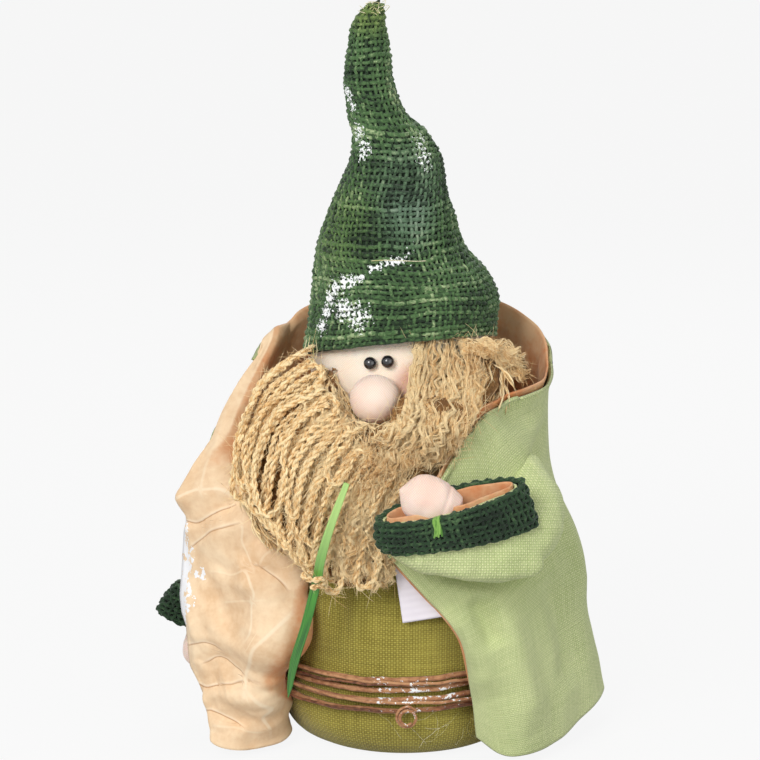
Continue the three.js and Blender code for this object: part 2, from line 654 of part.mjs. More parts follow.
function sideLock() {
  const spots = [[19, -25, 39], [28, -25, 38.5], [37, -20, 35], [42, -17, 24]];
  const way = curveThrough(...spots.map((spot) => overNeck(...spot)));
  const hatRoom = loft(hatRings(-clearance, -0.04, 0.2, 16));
  return cut(tube(way, 2.8, 8, 10), headForm(clearance), coatKeepOut, hatRoom, beardForm(clearance));
}

// Belt: one vine wound round the body, with a small tendril at the front.
function beltParts() {
  const turns = vineTurns + 0.8;
  const ring = bodyRadius + clearance + vineRadius;
  const points = Array.from({ length: 97 }, (_, i) => {
    const share = i / 96;
    const angle = radians(70) + share * turns * 2 * Math.PI;
    const sway = 1.6 * Math.sin(angle + 0.6);
    const z = beltHeight + share * turns * vinePitch + sway;
    return at(ring * Math.cos(angle), ring * Math.sin(angle), z);
  });
  const route = curveThrough(...points);
  leastGap("vine_belt", route, vineRadius, vineTurns);
  const tendril = curveThrough(
    ...Array.from({ length: 13 }, (_, i) => {
      const angle = radians(30) + i * 0.95;
      const size = 3.9 - 0.15 * i;
      const y = -ring - vineRadius - tendrilRadius - clearance - 0.16 * i;
      return at(0.5 + size * Math.cos(angle), y, beltHeight - 1 + size * Math.sin(angle));
    }),
  );
  const belt = tube(route, vineRadius, 6, Math.round(turns * 22));
  return { vine_belt: belt, vine_tendril: tube(tendril, tendrilRadius, 6, 26) };
}

// A flat grass blade tucked through a twine knot at the foot of the beard.
const knotCentre = overNeck(-29.8, -57.5, -35.5);
const bladeRoute = curveThrough(
  overNeck(-19.6, -59, -1),
  overNeck(-24.6, -59.5, -14.5),
  overNeck(-28, -59, -26),
  knotCentre,
  overNeck(-33.6, -52.5, -52),
  overNeck(-37.8, -44.5, -68),
  overNeck(-40.2, -37, -83),
);

function bladeParts() {
  const section = new THREE.Shape();
  const [w, t] = [bladeWidth / 2, bladeThickness / 2];
  section.moveTo(-t, -w).lineTo(t, -w).lineTo(t, w).lineTo(-t, w).closePath();
  const options = { extrudePath: bladeRoute, steps: 20, bevelEnabled: false };
  const blade = solidOf(new THREE.ExtrudeGeometry(section, options));
  const way = bladeRoute.getTangent(0.4);
  const across = way.clone().cross(at(0, 1, 0)).normalize();
  const depth = way.clone().cross(across);
  const inside = bladeWidth / 2 + clearance + twineRadius;
  const loop = curveThrough(
    ...Array.from({ length: 17 }, (_, i) => {
      const angle = 0.5 + (i / 16) * 2.4 * Math.PI;
      return knotCentre
        .clone()
        .addScaledVector(across, inside * 1.08 * Math.cos(angle))
        .addScaledVector(depth, inside * 0.95 * Math.sin(angle))
        .addScaledVector(way, (i / 16 - 0.5) * 3.4);
    }),
  );
  return { grass_blade: blade, beard_knot: tube(loop, twineRadius * 0.85, 6, 26) };
}

// A blank cloth tag sewn inside the coat's left front edge.
function tag() {
  const geometry = new THREE.BoxGeometry(tagSize.x, tagSize.y, tagSize.z);
  geometry.rotateY(radians(-8));
  geometry.translate(5.5, -bodyRadius - 1, bodyHeight - 42);
  return cut(solidOf(geometry), coatKeepOut, bodyForm(clearance), beardForm(clearance));
}

function colour(hex, roughness, metalness = 0) {
  return new THREE.MeshStandardMaterial({ color: hex, roughness, metalness });
}

const finishes = {
  oliveLinen: colour(0x9a9a3c, 0.9),
  paleLinen: colour(0xb5c48f, 0.9),
  paperCloth: colour(0xdcb98c, 0.8),
  burlap: colour(0x2f5a33, 0.9),
  skin: colour(0xf4dccb, 0.85),
  jute: colour(0xc9a066, 0.95),
  bead: colour(0x16151a, 0.2),
  vine: colour(0x8f5a3c, 0.75),
  grass: colour(0x3f9a35, 0.4),
  thread: colour(0x7fae4a, 0.8),
  card: colour(0xa98a60, 0.9),
  sand: colour(0xc8b48c, 0.95),
  wadding: colour(0xf2f0ea, 0.95),
  wire: colour(0x9a9da0, 0.4, 0.9),
  tag: colour(0xf2eef0, 0.8),
};

const finishOf = {
  body_cover: "oliveLinen",
  base_disc: "card",
  sand_bag: "sand",
  body_filling: "wadding",
  face_cover: "skin",
  head_filling: "wadding",
  nose: "skin",
  right_eye: "bead",
  left_eye: "bead",
  hat: "burlap",
  hat_filling: "wadding",
  coat_shell: "paleLinen",
  coat_lining: "paperCloth",
  left_sleeve: "paleLinen",
  left_sleeve_lining: "paperCloth",
  left_cuff: "burlap",
  left_cuff_tie: "thread",
  left_hand: "skin",
  left_arm_wire: "wire",
  right_sleeve: "paleLinen",
  right_sleeve_lining: "paperCloth",
  right_cuff: "burlap",
  right_hand: "skin",
  right_arm_wire: "wire",
  yoke_wire: "wire",
  beard: "jute",
  moustache: "jute",
  beard_twine: "jute",
  side_lock: "jute",
  beard_knot: "jute",
  vine_belt: "vine",
  vine_tendril: "vine",
  grass_blade: "grass",
  blank_tag: "tag",
};

function place(group, parts, origin = at(0, 0, 0)) {
  group.position.copy(origin);
  for (const [name, solid] of Object.entries(parts)) {
    const placed = solid.translate([-origin.x, -origin.y, -origin.z]);
    const mesh = new THREE.Mesh(geometryOf(placed), finishes[finishOf[name]]);
    mesh.name = name;
    group.add(mesh);
  }
  return group;
}

const figure = new THREE.Group();
figure.add(
  place(new THREE.Group(), {
    ...bodyParts(),
    ...headParts(),
    ...hatParts(),
    ...coatParts(),
    yoke_wire: yokeWire(),
    ...beardParts(),
    side_lock: sideLock(),
    ...beltParts(),
    ...bladeParts(),
    blank_tag: tag(),
  }),
  place(new THREE.Group(), leftArmParts(), leftShoulder),
  place(new THREE.Group(), rightArmParts(), rightShoulder),
);

export default figure;
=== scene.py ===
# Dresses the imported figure: linen body, burlap hat, lined coat, jute beard and soft arms.
import math
import random

import bmesh
import bpy
import numpy as np
from mathutils import Matrix, Vector, noise


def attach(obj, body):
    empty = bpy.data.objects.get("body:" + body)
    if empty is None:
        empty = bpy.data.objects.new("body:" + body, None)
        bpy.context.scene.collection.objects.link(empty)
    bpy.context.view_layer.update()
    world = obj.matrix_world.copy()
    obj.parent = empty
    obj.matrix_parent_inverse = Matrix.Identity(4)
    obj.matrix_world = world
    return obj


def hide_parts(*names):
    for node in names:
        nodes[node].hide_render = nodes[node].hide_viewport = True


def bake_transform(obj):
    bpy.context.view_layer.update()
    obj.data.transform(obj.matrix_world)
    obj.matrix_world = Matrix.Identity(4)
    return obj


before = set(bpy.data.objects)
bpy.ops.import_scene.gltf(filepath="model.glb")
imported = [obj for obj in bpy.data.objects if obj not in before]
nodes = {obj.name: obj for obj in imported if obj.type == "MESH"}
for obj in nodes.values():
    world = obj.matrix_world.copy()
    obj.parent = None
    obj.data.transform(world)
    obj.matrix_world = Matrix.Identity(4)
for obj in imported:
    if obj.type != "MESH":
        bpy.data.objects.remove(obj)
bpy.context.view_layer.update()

scene = bpy.context.scene
chance = random.Random(11)
wholeTurn = 2 * math.pi
print("frame loaded:", len(nodes), "nodes")


# measuring and placing, in millimetres until a mesh is made

def metres(*numbers):
    return Vector(numbers) * 0.001


# places on a smooth curve through points, at shares from 0 to 1
def along(points, shares):
    points = np.asarray(points, float)
    place = np.clip(np.asarray(shares, float), 0, 1) * (len(points) - 1)
    first = np.minimum(place.astype(int), len(points) - 2)
    t = (place - first).reshape((-1,) + (1,) * (points.ndim - 1))
    longer = np.concatenate([[2 * points[0] - points[1]], points, [2 * points[-1] - points[-2]]])
    a, b, c, d = (longer[first + k] for k in range(4))
    return b + 0.5 * t * (c - a + t * (2 * a - 5 * b + 4 * c - d + t * (3 * (b - c) + d - a)))


# how far each point is from the first, along the path
def travelledAlong(points):
    return np.concatenate([[0], np.cumsum(np.linalg.norm(np.diff(points, axis=0), axis=1))])


def lengthOf(points):
    return float(np.linalg.norm(np.diff(points, axis=0), axis=1).sum())


# places a fixed distance apart on a smooth curve
def evenly(points, count):
    fine = along(points, np.linspace(0, 1, 400))
    travelled = travelledAlong(fine)
    wanted = np.linspace(0, travelled[-1], count)
    return np.stack([np.interp(wanted, travelled, fine[:, k]) for k in range(fine.shape[1])], 1)


# soft noise from -1 to 1 at each point, with features about size across
def ripple(points, size, seed=0.0):
    shift = Vector((seed, seed * 1.7, -seed))
    return np.array([noise.noise(Vector(p) / size + shift) for p in np.asarray(points).reshape(-1, 3)])


# directions across a path that turn with it as little as they can
def sidesOf(path):
    way = np.gradient(path, axis=0)
    way /= np.linalg.norm(way, axis=1, keepdims=True) + 1e-12
    side = np.cross(way[0], (0.1, -1.0, 0.2))
    sides = []
    for step in way:
        side = side - step * np.dot(side, step)
        side = side / (np.linalg.norm(side) + 1e-12)
        sides.append(side)
    sides = np.array(sides)
    return way, sides, np.cross(way, sides)


def anyAngle():
    return chance.uniform(0, 6.28)


def anyWay():
    return np.array([chance.gauss(0, 1) for _ in range(3)])


# making pieces

def putPiece(name, mesh, material, body="figure", stands=()):
    piece = bpy.data.objects.new(name, mesh)
    scene.collection.objects.link(piece)
    mesh.materials.clear()
    mesh.materials.append(material)
    mesh.shade_smooth()
    if stands:
        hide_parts(*stands)
    if body:
        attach(piece, body)
    return piece


def meshFrom(bm, name, turnOut=True):
    if turnOut:
        bmesh.ops.recalc_face_normals(bm, faces=bm.faces)
    mesh = bpy.data.meshes.new(name)
    bm.to_mesh(mesh)
    bm.free()
    return mesh


# one mesh from many thin strands, each a list of points with its radii and, where it matters, its shade
def strandMesh(name, strands, sides=4):
    curve = bpy.data.curves.new(name, "CURVE")
    curve.dimensions = "3D"
    curve.bevel_depth = 0.001
    curve.bevel_resolution = sides // 2 - 2
    for points, radii, *_ in strands:
        spline = curve.splines.new("POLY")
        spline.points.add(len(points) - 1)
        places = np.column_stack([np.asarray(points) * 0.001, np.ones(len(points))])
        spline.points.foreach_set("co", places.ravel())
        radii = np.broadcast_to(radii, len(points)).copy()
        radii[0] = radii[-1] = 0.0        # both ends run to a point
        spline.points.foreach_set("radius", radii)
    holder = bpy.data.objects.new(name, curve)
    mesh = bpy.data.meshes.new_from_object(holder)
    bpy.data.objects.remove(holder)
    mesh.name = name
    shade = mesh.attributes.new("shade", "FLOAT", "POINT")
    counts = [len(strand[0]) * sides for strand in strands]
    tones = [strand[2] if len(strand) > 2 else chance.random() for strand in strands]
    shade.data.foreach_set("value", np.repeat(tones[::-1], counts[::-1]))        # the last strand comes first
    bm = bmesh.new()
    bm.from_mesh(mesh)
    bmesh.ops.remove_doubles(bm, verts=bm.verts, dist=2e-7)
    bmesh.ops.dissolve_degenerate(bm, edges=bm.edges, dist=1e-8)
    bm.to_mesh(mesh)
    bm.free()
    return mesh


# a grid whose vertices are moved to surface(columns, rows), with a flat UV map in metres;
# marks(columns, rows) gives each vertex named numbers for its material
def gridMesh(name, columns, rows, surface, flat, close=False, marks=None):
    bm = bmesh.new()
    bmesh.ops.create_grid(bm, x_segments=columns, y_segments=rows, size=1)
    turns, rises = np.linspace(0, 1, columns + 1), np.linspace(0, 1, rows + 1)
    places = surface(turns, rises)
    spots = {}
    for vert in bm.verts:
        column = round((vert.co.x + 1) / 2 * columns)
        row = round((vert.co.y + 1) / 2 * rows)
        spots[vert.index] = (column, row)
        vert.co = Vector(places[column, row]) * 0.001
    if marks:
        for mark, values in marks(turns, rises).items():
            held = bm.verts.layers.float.new(mark)
            for vert in bm.verts:
                vert[held] = float(values[spots[vert.index]])
    layer = bm.loops.layers.uv.new("flat")
    for face in bm.faces:
        for loop in face.loops:
            column, row = spots[loop.vert.index]
            loop[layer].uv = (column / columns * flat[0], row / rows * flat[1])
    if close:
        bmesh.ops.remove_doubles(bm, verts=bm.verts, dist=2e-6)
    return meshFrom(bm, name, turnOut=close)


# one closed skin round a mesh, smoothed a few times
def oneSkin(name, mesh, voxel, smoothings):
    holder = bpy.data.objects.new(name, mesh)
    scene.collection.objects.link(holder)
    skinned = holder.modifiers.new("one skin", "REMESH")
    skinned.mode = "VOXEL"
    skinned.voxel_size = voxel * 0.001
    bpy.context.view_layer.update()
    made = bpy.data.meshes.new_from_object(holder.evaluated_get(bpy.context.evaluated_depsgraph_get()))
    bpy.data.objects.remove(holder)
    bm = bmesh.new()
    bm.from_mesh(made)
    for _ in range(smoothings):
        bmesh.ops.smooth_vert(bm, verts=bm.verts, factor=0.5,
                              use_axis_x=True, use_axis_y=True, use_axis_z=True)
    bm.normal_update()
    return bm


# gives a sheet its wall, which grows inwards from the surface
def thicken(piece, wall):
    solid = piece.modifiers.new("thickness", "SOLIDIFY")
    solid.thickness = wall * 0.001
    solid.offset = -1.0
    solid.use_rim = True


# materials

def tint(red, green, blue):
    def linear(value):
        value = value / 255
        return value / 12.92 if value <= 0.04045 else ((value + 0.055) / 1.055) ** 2.4
    return (linear(red), linear(green), linear(blue), 1.0)


def newMaterial(name, roughness, fixed=None):
    material = bpy.data.materials.new(name)
    material.use_nodes = True
    shader = material.node_tree.nodes["Principled BSDF"]
    shader.inputs["Roughness"].default_value = roughness
    for socket, value in (fixed or {}).items():
        shader.inputs[socket].default_value = value
    return material


# a node in a material or a world, with values or other nodes' outputs on its inputs
def addNode(material, kind, settings=None, inputs=None):
    tree = material.node_tree
    made = tree.nodes.new("ShaderNode" + kind)
    for name, value in (settings or {}).items():
        setattr(made, name, value)
    for name, value in (inputs or {}).items():
        if isinstance(value, bpy.types.NodeSocket):
            tree.links.new(value, made.inputs[name])
        else:
            made.inputs[name].default_value = value
    return made


def sums(material, operation, first, second=0.0, third=0.0):
    return addNode(material, "Math", {"operation": operation}, {0: first, 1: second, 2: third}).outputs[0]


def plus(material, first, second):
    return sums(material, "ADD", first, second)


def times(material, first, second):
    return sums(material, "MULTIPLY", first, second)


def larger(material, first, second):
    return sums(material, "MAXIMUM", first, second)


def blendColours(material, share, first, second):
    return addNode(material, "Mix", {"data_type": "RGBA"}, {0: share, 6: first, 7: second}).outputs[2]


def stretched(material, value, low, high, bottom=0.0, top=1.0):
    inputs = {0: value, 1: low, 2: high, 3: bottom, 4: top}
    return addNode(material, "MapRange", {"interpolation_type": "SMOOTHSTEP"}, inputs).outputs[0]


def scaledPlace(material, place, scale):
    return addNode(material, "VectorMath", {"operation": "MULTIPLY"}, {0: place, 1: scale}).outputs[0]


def objectPlace(material, scale=(1, 1, 1)):
    place = addNode(material, "TexCoord").outputs["Object"]
    return place if scale == (1, 1, 1) else scaledPlace(material, place, scale)


def flatPlace(material, scale):
    place = addNode(material, "UVMap", {"uv_map": "flat"}).outputs[0]
    return addNode(material, "VectorMath", {"operation": "SCALE"}, {0: place, "Scale": scale}).outputs[0]


def partsOf(material, place):
    return addNode(material, "SeparateXYZ", None, {0: place}).outputs


def markOf(material, mark):
    return addNode(material, "Attribute", {"attribute_name": mark}).outputs["Fac"]


# how far the surface is, in metres, from a spot in millimetres
def awayFrom(material, place, spot):
    inputs = {0: place, 1: metres(*spot)}
    return addNode(material, "VectorMath", {"operation": "DISTANCE"}, inputs).outputs["Value"]


def noiseOf(material, vector, scale, detail=2.0, roughness=0.5):
    inputs = {"Vector": vector, "Scale": scale, "Detail": detail, "Roughness": roughness}
    return addNode(material, "TexNoise", None, inputs).outputs[0]


def setRelief(material, height, distance, strength=1.0):
    inputs = {"Height": height, "Distance": distance, "Strength": strength}
    bump = addNode(material, "Bump", None, inputs)
    shader = material.node_tree.nodes["Principled BSDF"]
    material.node_tree.links.new(bump.outputs[0], shader.inputs["Normal"])


def setColour(material, colour):
    shader = material.node_tree.nodes["Principled BSDF"]
    material.node_tree.links.new(colour, shader.inputs["Base Color"])


# a plain finish that varies between two colours, with a relief if it has one
def mottledMaterial(name, roughness, scale, first, second, relief=0.0, detail=2.0, rough=0.5,
                    stretch=(1, 1, 1), fixed=None):
    material = newMaterial(name, roughness, fixed)
    spots = noiseOf(material, objectPlace(material, stretch), scale, detail, rough)
    setColour(material, blendColours(material, spots, first, second))
    if relief:
        setRelief(material, spots, relief)
    return material


# artificial snow: near the spots, broken up by noise; each spot is (x, y, z, radius)
def snowNear(material, spots, grain, openFrom):
    place = objectPlace(material)
    reach = None
    for x, y, z, radius in spots:
        away = awayFrom(material, place, (x, y, z))
        near = sums(material, "SUBTRACT", 1.0, sums(material, "DIVIDE", away, radius * 0.001))
        reach = near if reach is None else larger(material, reach, near)
    speckle = noiseOf(material, place, grain, 3.0, 0.65)
    both = sums(material, "MULTIPLY_ADD", larger(material, reach, -0.8), 0.6, times(material, speckle, 2.0))
    return stretched(material, both, openFrom, openFrom + 0.08)


# plain woven cloth on the piece's flat UV map, pitch in millimetres between yarns
def linenMaterial(name, light, deep, pitch, patches=26.0):
    fixed = {"Sheen Weight": 0.2, "Sheen Roughness": 0.5, "Specular IOR Level": 0.25}
    material = newMaterial(name, 0.85, fixed)
    weave = flatPlace(material, 1000 / pitch)
    across, up = partsOf(material, weave)[:2]
    waveX = sums(material, "SINE", times(material, across, math.pi))
    waveY = sums(material, "SINE", times(material, up, math.pi))
    lanes = times(material, sums(material, "ABSOLUTE", waveX), sums(material, "ABSOLUTE", waveY))
    crossing = times(material, waveX, waveY)
    height = plus(material, times(material, lanes, 0.7), times(material, crossing, 0.25))
    slubs = [noiseOf(material, scaledPlace(material, weave, size), 0.9, 1.0)
             for size in ((1.0, 0.05, 1.0), (0.05, 1.0, 1.0))]
    slub = plus(material, *slubs)
    patch = noiseOf(material, objectPlace(material), patches, 3.0)
    tone = plus(material, times(material, height, 0.45), times(material, slub, 0.22))
    tone = plus(material, tone, times(material, patch, 0.35))
    setColour(material, blendColours(material, stretched(material, tone, 0.25, 0.8), deep, light))
    setRelief(material, plus(material, height, times(material, slub, 0.4)), 0.00022)
    return material


# crumpled cloth like kraft paper; marks on the piece say how far the nearest crease is, how high
# it stands (a valley below zero) and where the cloth lies open to the light
def paperMaterial(name, light, deep, inside, snow):
    material = newMaterial(name, 0.66, {"Specular IOR Level": 0.25, "Sheen Weight": 0.1})
    place = objectPlace(material)
    away, fold, lit = (markOf(material, mark) for mark in ("away", "fold", "lit"))
    broad = noiseOf(material, place, 60.0, 4.0, 0.6)
    fine = noiseOf(material, place, 420.0, 3.0, 0.6)
    tone = plus(material, times(material, broad, 0.5), times(material, fine, 0.2))
    cloudy = stretched(material, tone, 0.2, 0.5)
    colour = blendColours(material, cloudy, deep, light)
    size = sums(material, "ABSOLUTE", away)
    near = stretched(material, size, 0.12, 0.5, 1.0, 0.0)
    oneSide = stretched(material, away, -0.2, 0.2)
    beside = times(material, stretched(material, size, 0.3, 1.5, 1.0, 0.0), oneSide)
    valley = larger(material, times(material, fold, -1.0), 0.0)
    ridge = larger(material, fold, 0.0)
    # painted shade in the creases: a brown line along each valley; painted highlights: a pale band beside each
    # valley and a pale line along each ridge
    for where, height, amount, shade in ((near, valley, 0.85, tint(172, 118, 72)),
                                         (beside, valley, 0.55, tint(255, 238, 210)),
                                         (near, ridge, 0.45, tint(255, 240, 212))):
        share = times(material, times(material, where, height), amount)
        colour = blendColours(material, share, colour, shade)
    # painted shade: where the cloth is not open to the light it takes the darker, warmer shade colour
    colour = blendColours(material, lit, blendColours(material, cloudy, inside, deep), colour)
    colour = blendColours(material, snowNear(material, snow, 300.0, 1.06), colour, tint(250, 250, 252))
    setColour(material, colour)
    setRelief(material, plus(material, broad, times(material, fine, 0.12)), 0.0009, 0.5)
    return material


# fibres, each strand with its own shade; patches are (place, reach), colour and share
def fibreMaterial(name, light, middle, deep, grain=(900, 900, 260), roughness=0.8, snow=(), openSnow=1.35,
                  low=0.32, high=0.7, ownShade=0.3, patches=(), snowGrain=620.0):
    material = newMaterial(name, roughness, {"Sheen Weight": 0.15, "Specular IOR Level": 0.3})
    place = objectPlace(material)
    streak = noiseOf(material, objectPlace(material, grain), 1.0, 3.0, 0.6)
    broad = noiseOf(material, place, 70.0, 3.0)
    tone = plus(material, times(material, markOf(material, "shade"), ownShade), times(material, streak, 0.5))
    tone = plus(material, tone, times(material, broad, 0.35))
    share = stretched(material, tone, low, high)
    colour = blendColours(material, stretched(material, share, 0.0, 0.5), deep, middle)
    colour = blendColours(material, stretched(material, share, 0.5, 1.0), colour, light)
    # patches of other colour; on the hat the grey ones are a painted highlight
    for (x, y, z, reach), other, amount in patches:
        away = awayFrom(material, place, (x, y, z))
        strength = stretched(material, away, reach * 0.0003, reach * 0.001, amount, 0.0)
        strength = times(material, times(material, strength, share), 1.4)
        colour = blendColours(material, strength, colour, other)
    if snow:
        covered = snowNear(material, snow, snowGrain, openSnow)
        colour = blendColours(material, covered, colour, tint(250, 252, 252))
    setColour(material, colour)
    setRelief(material, streak, 0.00012)
    return material


print("tools ready")


# body: a linen sack, gathered under the beard

body = {"radius": 45.0, "foot": 32.0, "neck": 17.0, "height": 104.0, "widest": 18.0, "wall": 0.8,
        "pitch": 0.95,
        "flatRows": 0.12,        # share of the rows that close the flat foot; the rest climb to the neck
        "gathers": 23, "gatherFrom": 38, "crease": (4.31, 0.07), "creaseFrom": 34,
        "light": tint(188, 176, 82), "deep": tint(116, 104, 36)}


def bodyRadius(z):
    z = np.clip(z, 0, body["height"])
    low = 1 - np.clip(z / body["widest"], 0, 1)
    foot = body["foot"] + (body["radius"] - body["foot"]) * np.sqrt(np.clip(1 - low ** 2.6, 0, 1))
    high = np.clip((z - body["widest"]) / (body["height"] - body["widest"]), 0, 1)
    neck = body["neck"] + (body["radius"] - body["neck"]) * (1 - high ** 3.2) ** 0.625
    return np.where(z <= body["widest"], foot, neck)


def bodySurface(turns, rises):
    angle = turns * wholeTurn
    flat, (creaseAt, creaseWide) = body["flatRows"], body["crease"]
    places = np.zeros((len(turns), len(rises), 3))
    for k, share in enumerate(rises ** 0.9):
        if share < flat:
            z, radius = 0.0, body["foot"] * (0.02 + 0.98 * share / flat)
        else:
            z = (share - flat) / (1 - flat) * (body["height"] - 1)
            radius = float(bodyRadius(z))
        fade = min(1.0, z / 8) * min(1.0, (body["height"] - z) / 20)
        gathered = max(0.0, min(1.0, (z - body["gatherFrom"]) / 22))
        gather = 0.5 * np.sin(angle * body["gathers"] + z * 0.05) * gathered
        creased = max(0.0, min(1.0, (z - body["creaseFrom"]) / 20))
        fold = 1.5 * np.exp(-((angle - creaseAt) / creaseWide) ** 2) * creased
        upright = np.full(len(angle), z)
        spots = np.column_stack([radius * np.cos(angle), radius * np.sin(angle), upright])
        soft = ripple(spots * (1, 1, 1.6), 17) * 0.9 + ripple(spots, 6, 4) * 0.25
        grown = radius + fade * (gather * 0.6 + fold + soft - 0.4)
        places[:, k] = np.column_stack([grown * np.cos(angle), grown * np.sin(angle), upright])
    return places


bodyLinen = linenMaterial("oliveLinen", body["light"], body["deep"], body["pitch"])
bodyMesh = gridMesh("bodyCloth", 180, 90, bodySurface, (0.283, 0.15), close=True)
bodyCloth = putPiece("bodyCloth", bodyMesh, bodyLinen, stands=["body_cover"])
thicken(bodyCloth, body["wall"])
print("body made")


# head: a stuffed ball with a nose, blush and bead eyes; turns and rises are in degrees

# the face's colours are lighter than those of the nose and hands: painted light that makes up for the shade
# under the hat's brim
head = {"radius": 31.0, "shift": -2.0, "seat": 0.3, "nose": 8.6, "noseTurn": (-13.0, -6.5, 6.2), "eye": 2.2,
        "eyes": {"right": (-18.5, 12.0), "left": (-7.5, 13.5)}, "cheek": (7.5, 1.0, 0), "pitch": 0.8,
        "light": tint(253, 238, 224), "deep": tint(244, 216, 198), "faceLight": tint(255, 246, 230),
        "faceDeep": tint(255, 234, 212), "blush": tint(238, 150, 128)}
headRise = math.sqrt(head["radius"] ** 2 - body["neck"] ** 2)        # the ball rests in the sack's neck
head["centre"] = (head["shift"], 0.0, body["height"] + headRise + head["seat"])


def onHead(turn, rise, out):
    turn, rise = math.radians(turn), math.radians(rise)
    way = Vector((math.sin(turn), -math.cos(turn), math.tan(rise))).normalized()
    return Vector(head["centre"]) + way * (head["radius"] + out)


def skinMaterial(name, light, deep):
    fixed = {"Sheen Weight": 0.25, "Specular IOR Level": 0.25,
             "Subsurface Weight": 0.08, "Subsurface Scale": 0.004}
    material = newMaterial(name, 0.78, fixed)
    place = objectPlace(material)
    fine = partsOf(material, objectPlace(material, (1000 / head["pitch"],) * 3))
    waves = [sums(material, "SINE", times(material, fine[k], wholeTurn)) for k in (0, 2)]
    knit = times(material, *waves)
    soft = noiseOf(material, place, 60.0, 3.0)
    tone = plus(material, times(material, knit, 0.16), soft)
    colour = blendColours(material, stretched(material, tone, 0.3, 0.62), deep, light)
    away = awayFrom(material, place, onHead(*head["cheek"]))
    blush = stretched(material, away, 0.001, 0.0085, 0.62, 0.0)
    colour = blendColours(material, blush, colour, head["blush"])
    warm = stretched(material, partsOf(material, place)[2], 0.118, 0.136, 0.16, 0.0)
    setColour(material, blendColours(material, warm, colour, head["blush"]))
    setRelief(material, knit, 0.0001, 0.5)
    return material


def stuffedBall(name, centre, radius, squeeze=(1, 1, 1), lumps=0.3, rings=(48, 32)):
    bm = bmesh.new()
    bmesh.ops.create_uvsphere(bm, u_segments=rings[0], v_segments=rings[1], radius=1)
    for vert in bm.verts:
        way = vert.co.copy()
        lump = lumps * noise.noise(way * 2.2 + Vector((radius, 0, 3))) + lumps * 0.4 * noise.noise(way * 6)
        squeezed = Vector((way.x * squeeze[0], way.y * squeeze[1], way.z * squeeze[2]))
        vert.co = (Vector(centre) + squeezed * (radius + lump)) * 0.001
    return meshFrom(bm, name)


skin = skinMaterial("skin", head["light"], head["deep"])
# painted light: the face takes a lighter copy of the skin, against the brim's shade
faceSkinPaintedLight = skinMaterial("faceSkinPaintedLight", head["faceLight"], head["faceDeep"])
faceMesh = stuffedBall("faceCloth", head["centre"], head["radius"] - 0.2, lumps=0.25, rings=(96, 64))
faceBall = putPiece("faceCloth", faceMesh, faceSkinPaintedLight, stands=["face_cover"])
noseMesh = stuffedBall("noseBall", onHead(*head["noseTurn"]), head["nose"] - 0.1, (1, 1, 0.97), 0.12)
noseBall = putPiece("noseBall", noseMesh, skin, stands=["nose"])

beadBlack = mottledMaterial("beadBlack", 0.12, 900.0, tint(14, 13, 17), tint(30, 28, 34),
                            fixed={"Coat Weight": 0.5, "Specular IOR Level": 0.6})
for side, (turn, rise) in head["eyes"].items():
    place = onHead(turn, rise, head["eye"] * 0.55)
    eyeMesh = stuffedBall(side + "Eye", place, head["eye"], lumps=0.0, rings=(32, 20))
    putPiece(side + "Eye", eyeMesh, beadBlack, stands=[side + "_eye"])
print("head made")


# burlap: single yarns woven over a near-black sheet, painted shade that stands for the shadow seen through the
# gaps in the weave

burlap = {"pitch": 2.08, "yarn": 0.68, "lift": 0.32, "wall": 0.7, "light": tint(172, 190, 142),
          "middle": tint(76, 108, 64), "deep": tint(18, 38, 18), "shadeSheet": tint(12, 26, 12),
          "shadeSheetLight": tint(22, 48, 22),
          "cuffLight": tint(84, 112, 72), "cuffMiddle": tint(36, 62, 36), "cuffDeep": tint(10, 26, 12)}


# yarns laid over place(fixedValue, shares, lifts, sideways); each line is its fixed value, its numbered
# crossings and whether it runs sideways
def weaveYarns(name, lines, place, thickness):
    strands = []
    for order, (fixedValue, crossings, sideways) in enumerate(lines):
        shares, lifts = [], []
        for k, crossing in crossings:
            lift = burlap["lift"] * (1 if (k + order + (0 if sideways else 1)) % 2 else -1)
            for step in (-0.24, 0.24):
                shares.append(crossing + step * burlap["pitch"])
                lifts.append(lift)
        if len(shares) < 4:
            continue
        points = place(fixedValue, np.array(shares), np.array(lifts), sideways)
        wander = np.stack([ripple(points, 5.0, order + 3 * k) for k in range(3)], 1) * 0.34
        girth = thickness * (1 + 0.34 * ripple(points, 2.6, order * 1.3) + 0.16 * chance.uniform(-1, 1))
        strands.append((points + wander, girth))
    return strandMesh(name, strands, sides=6)


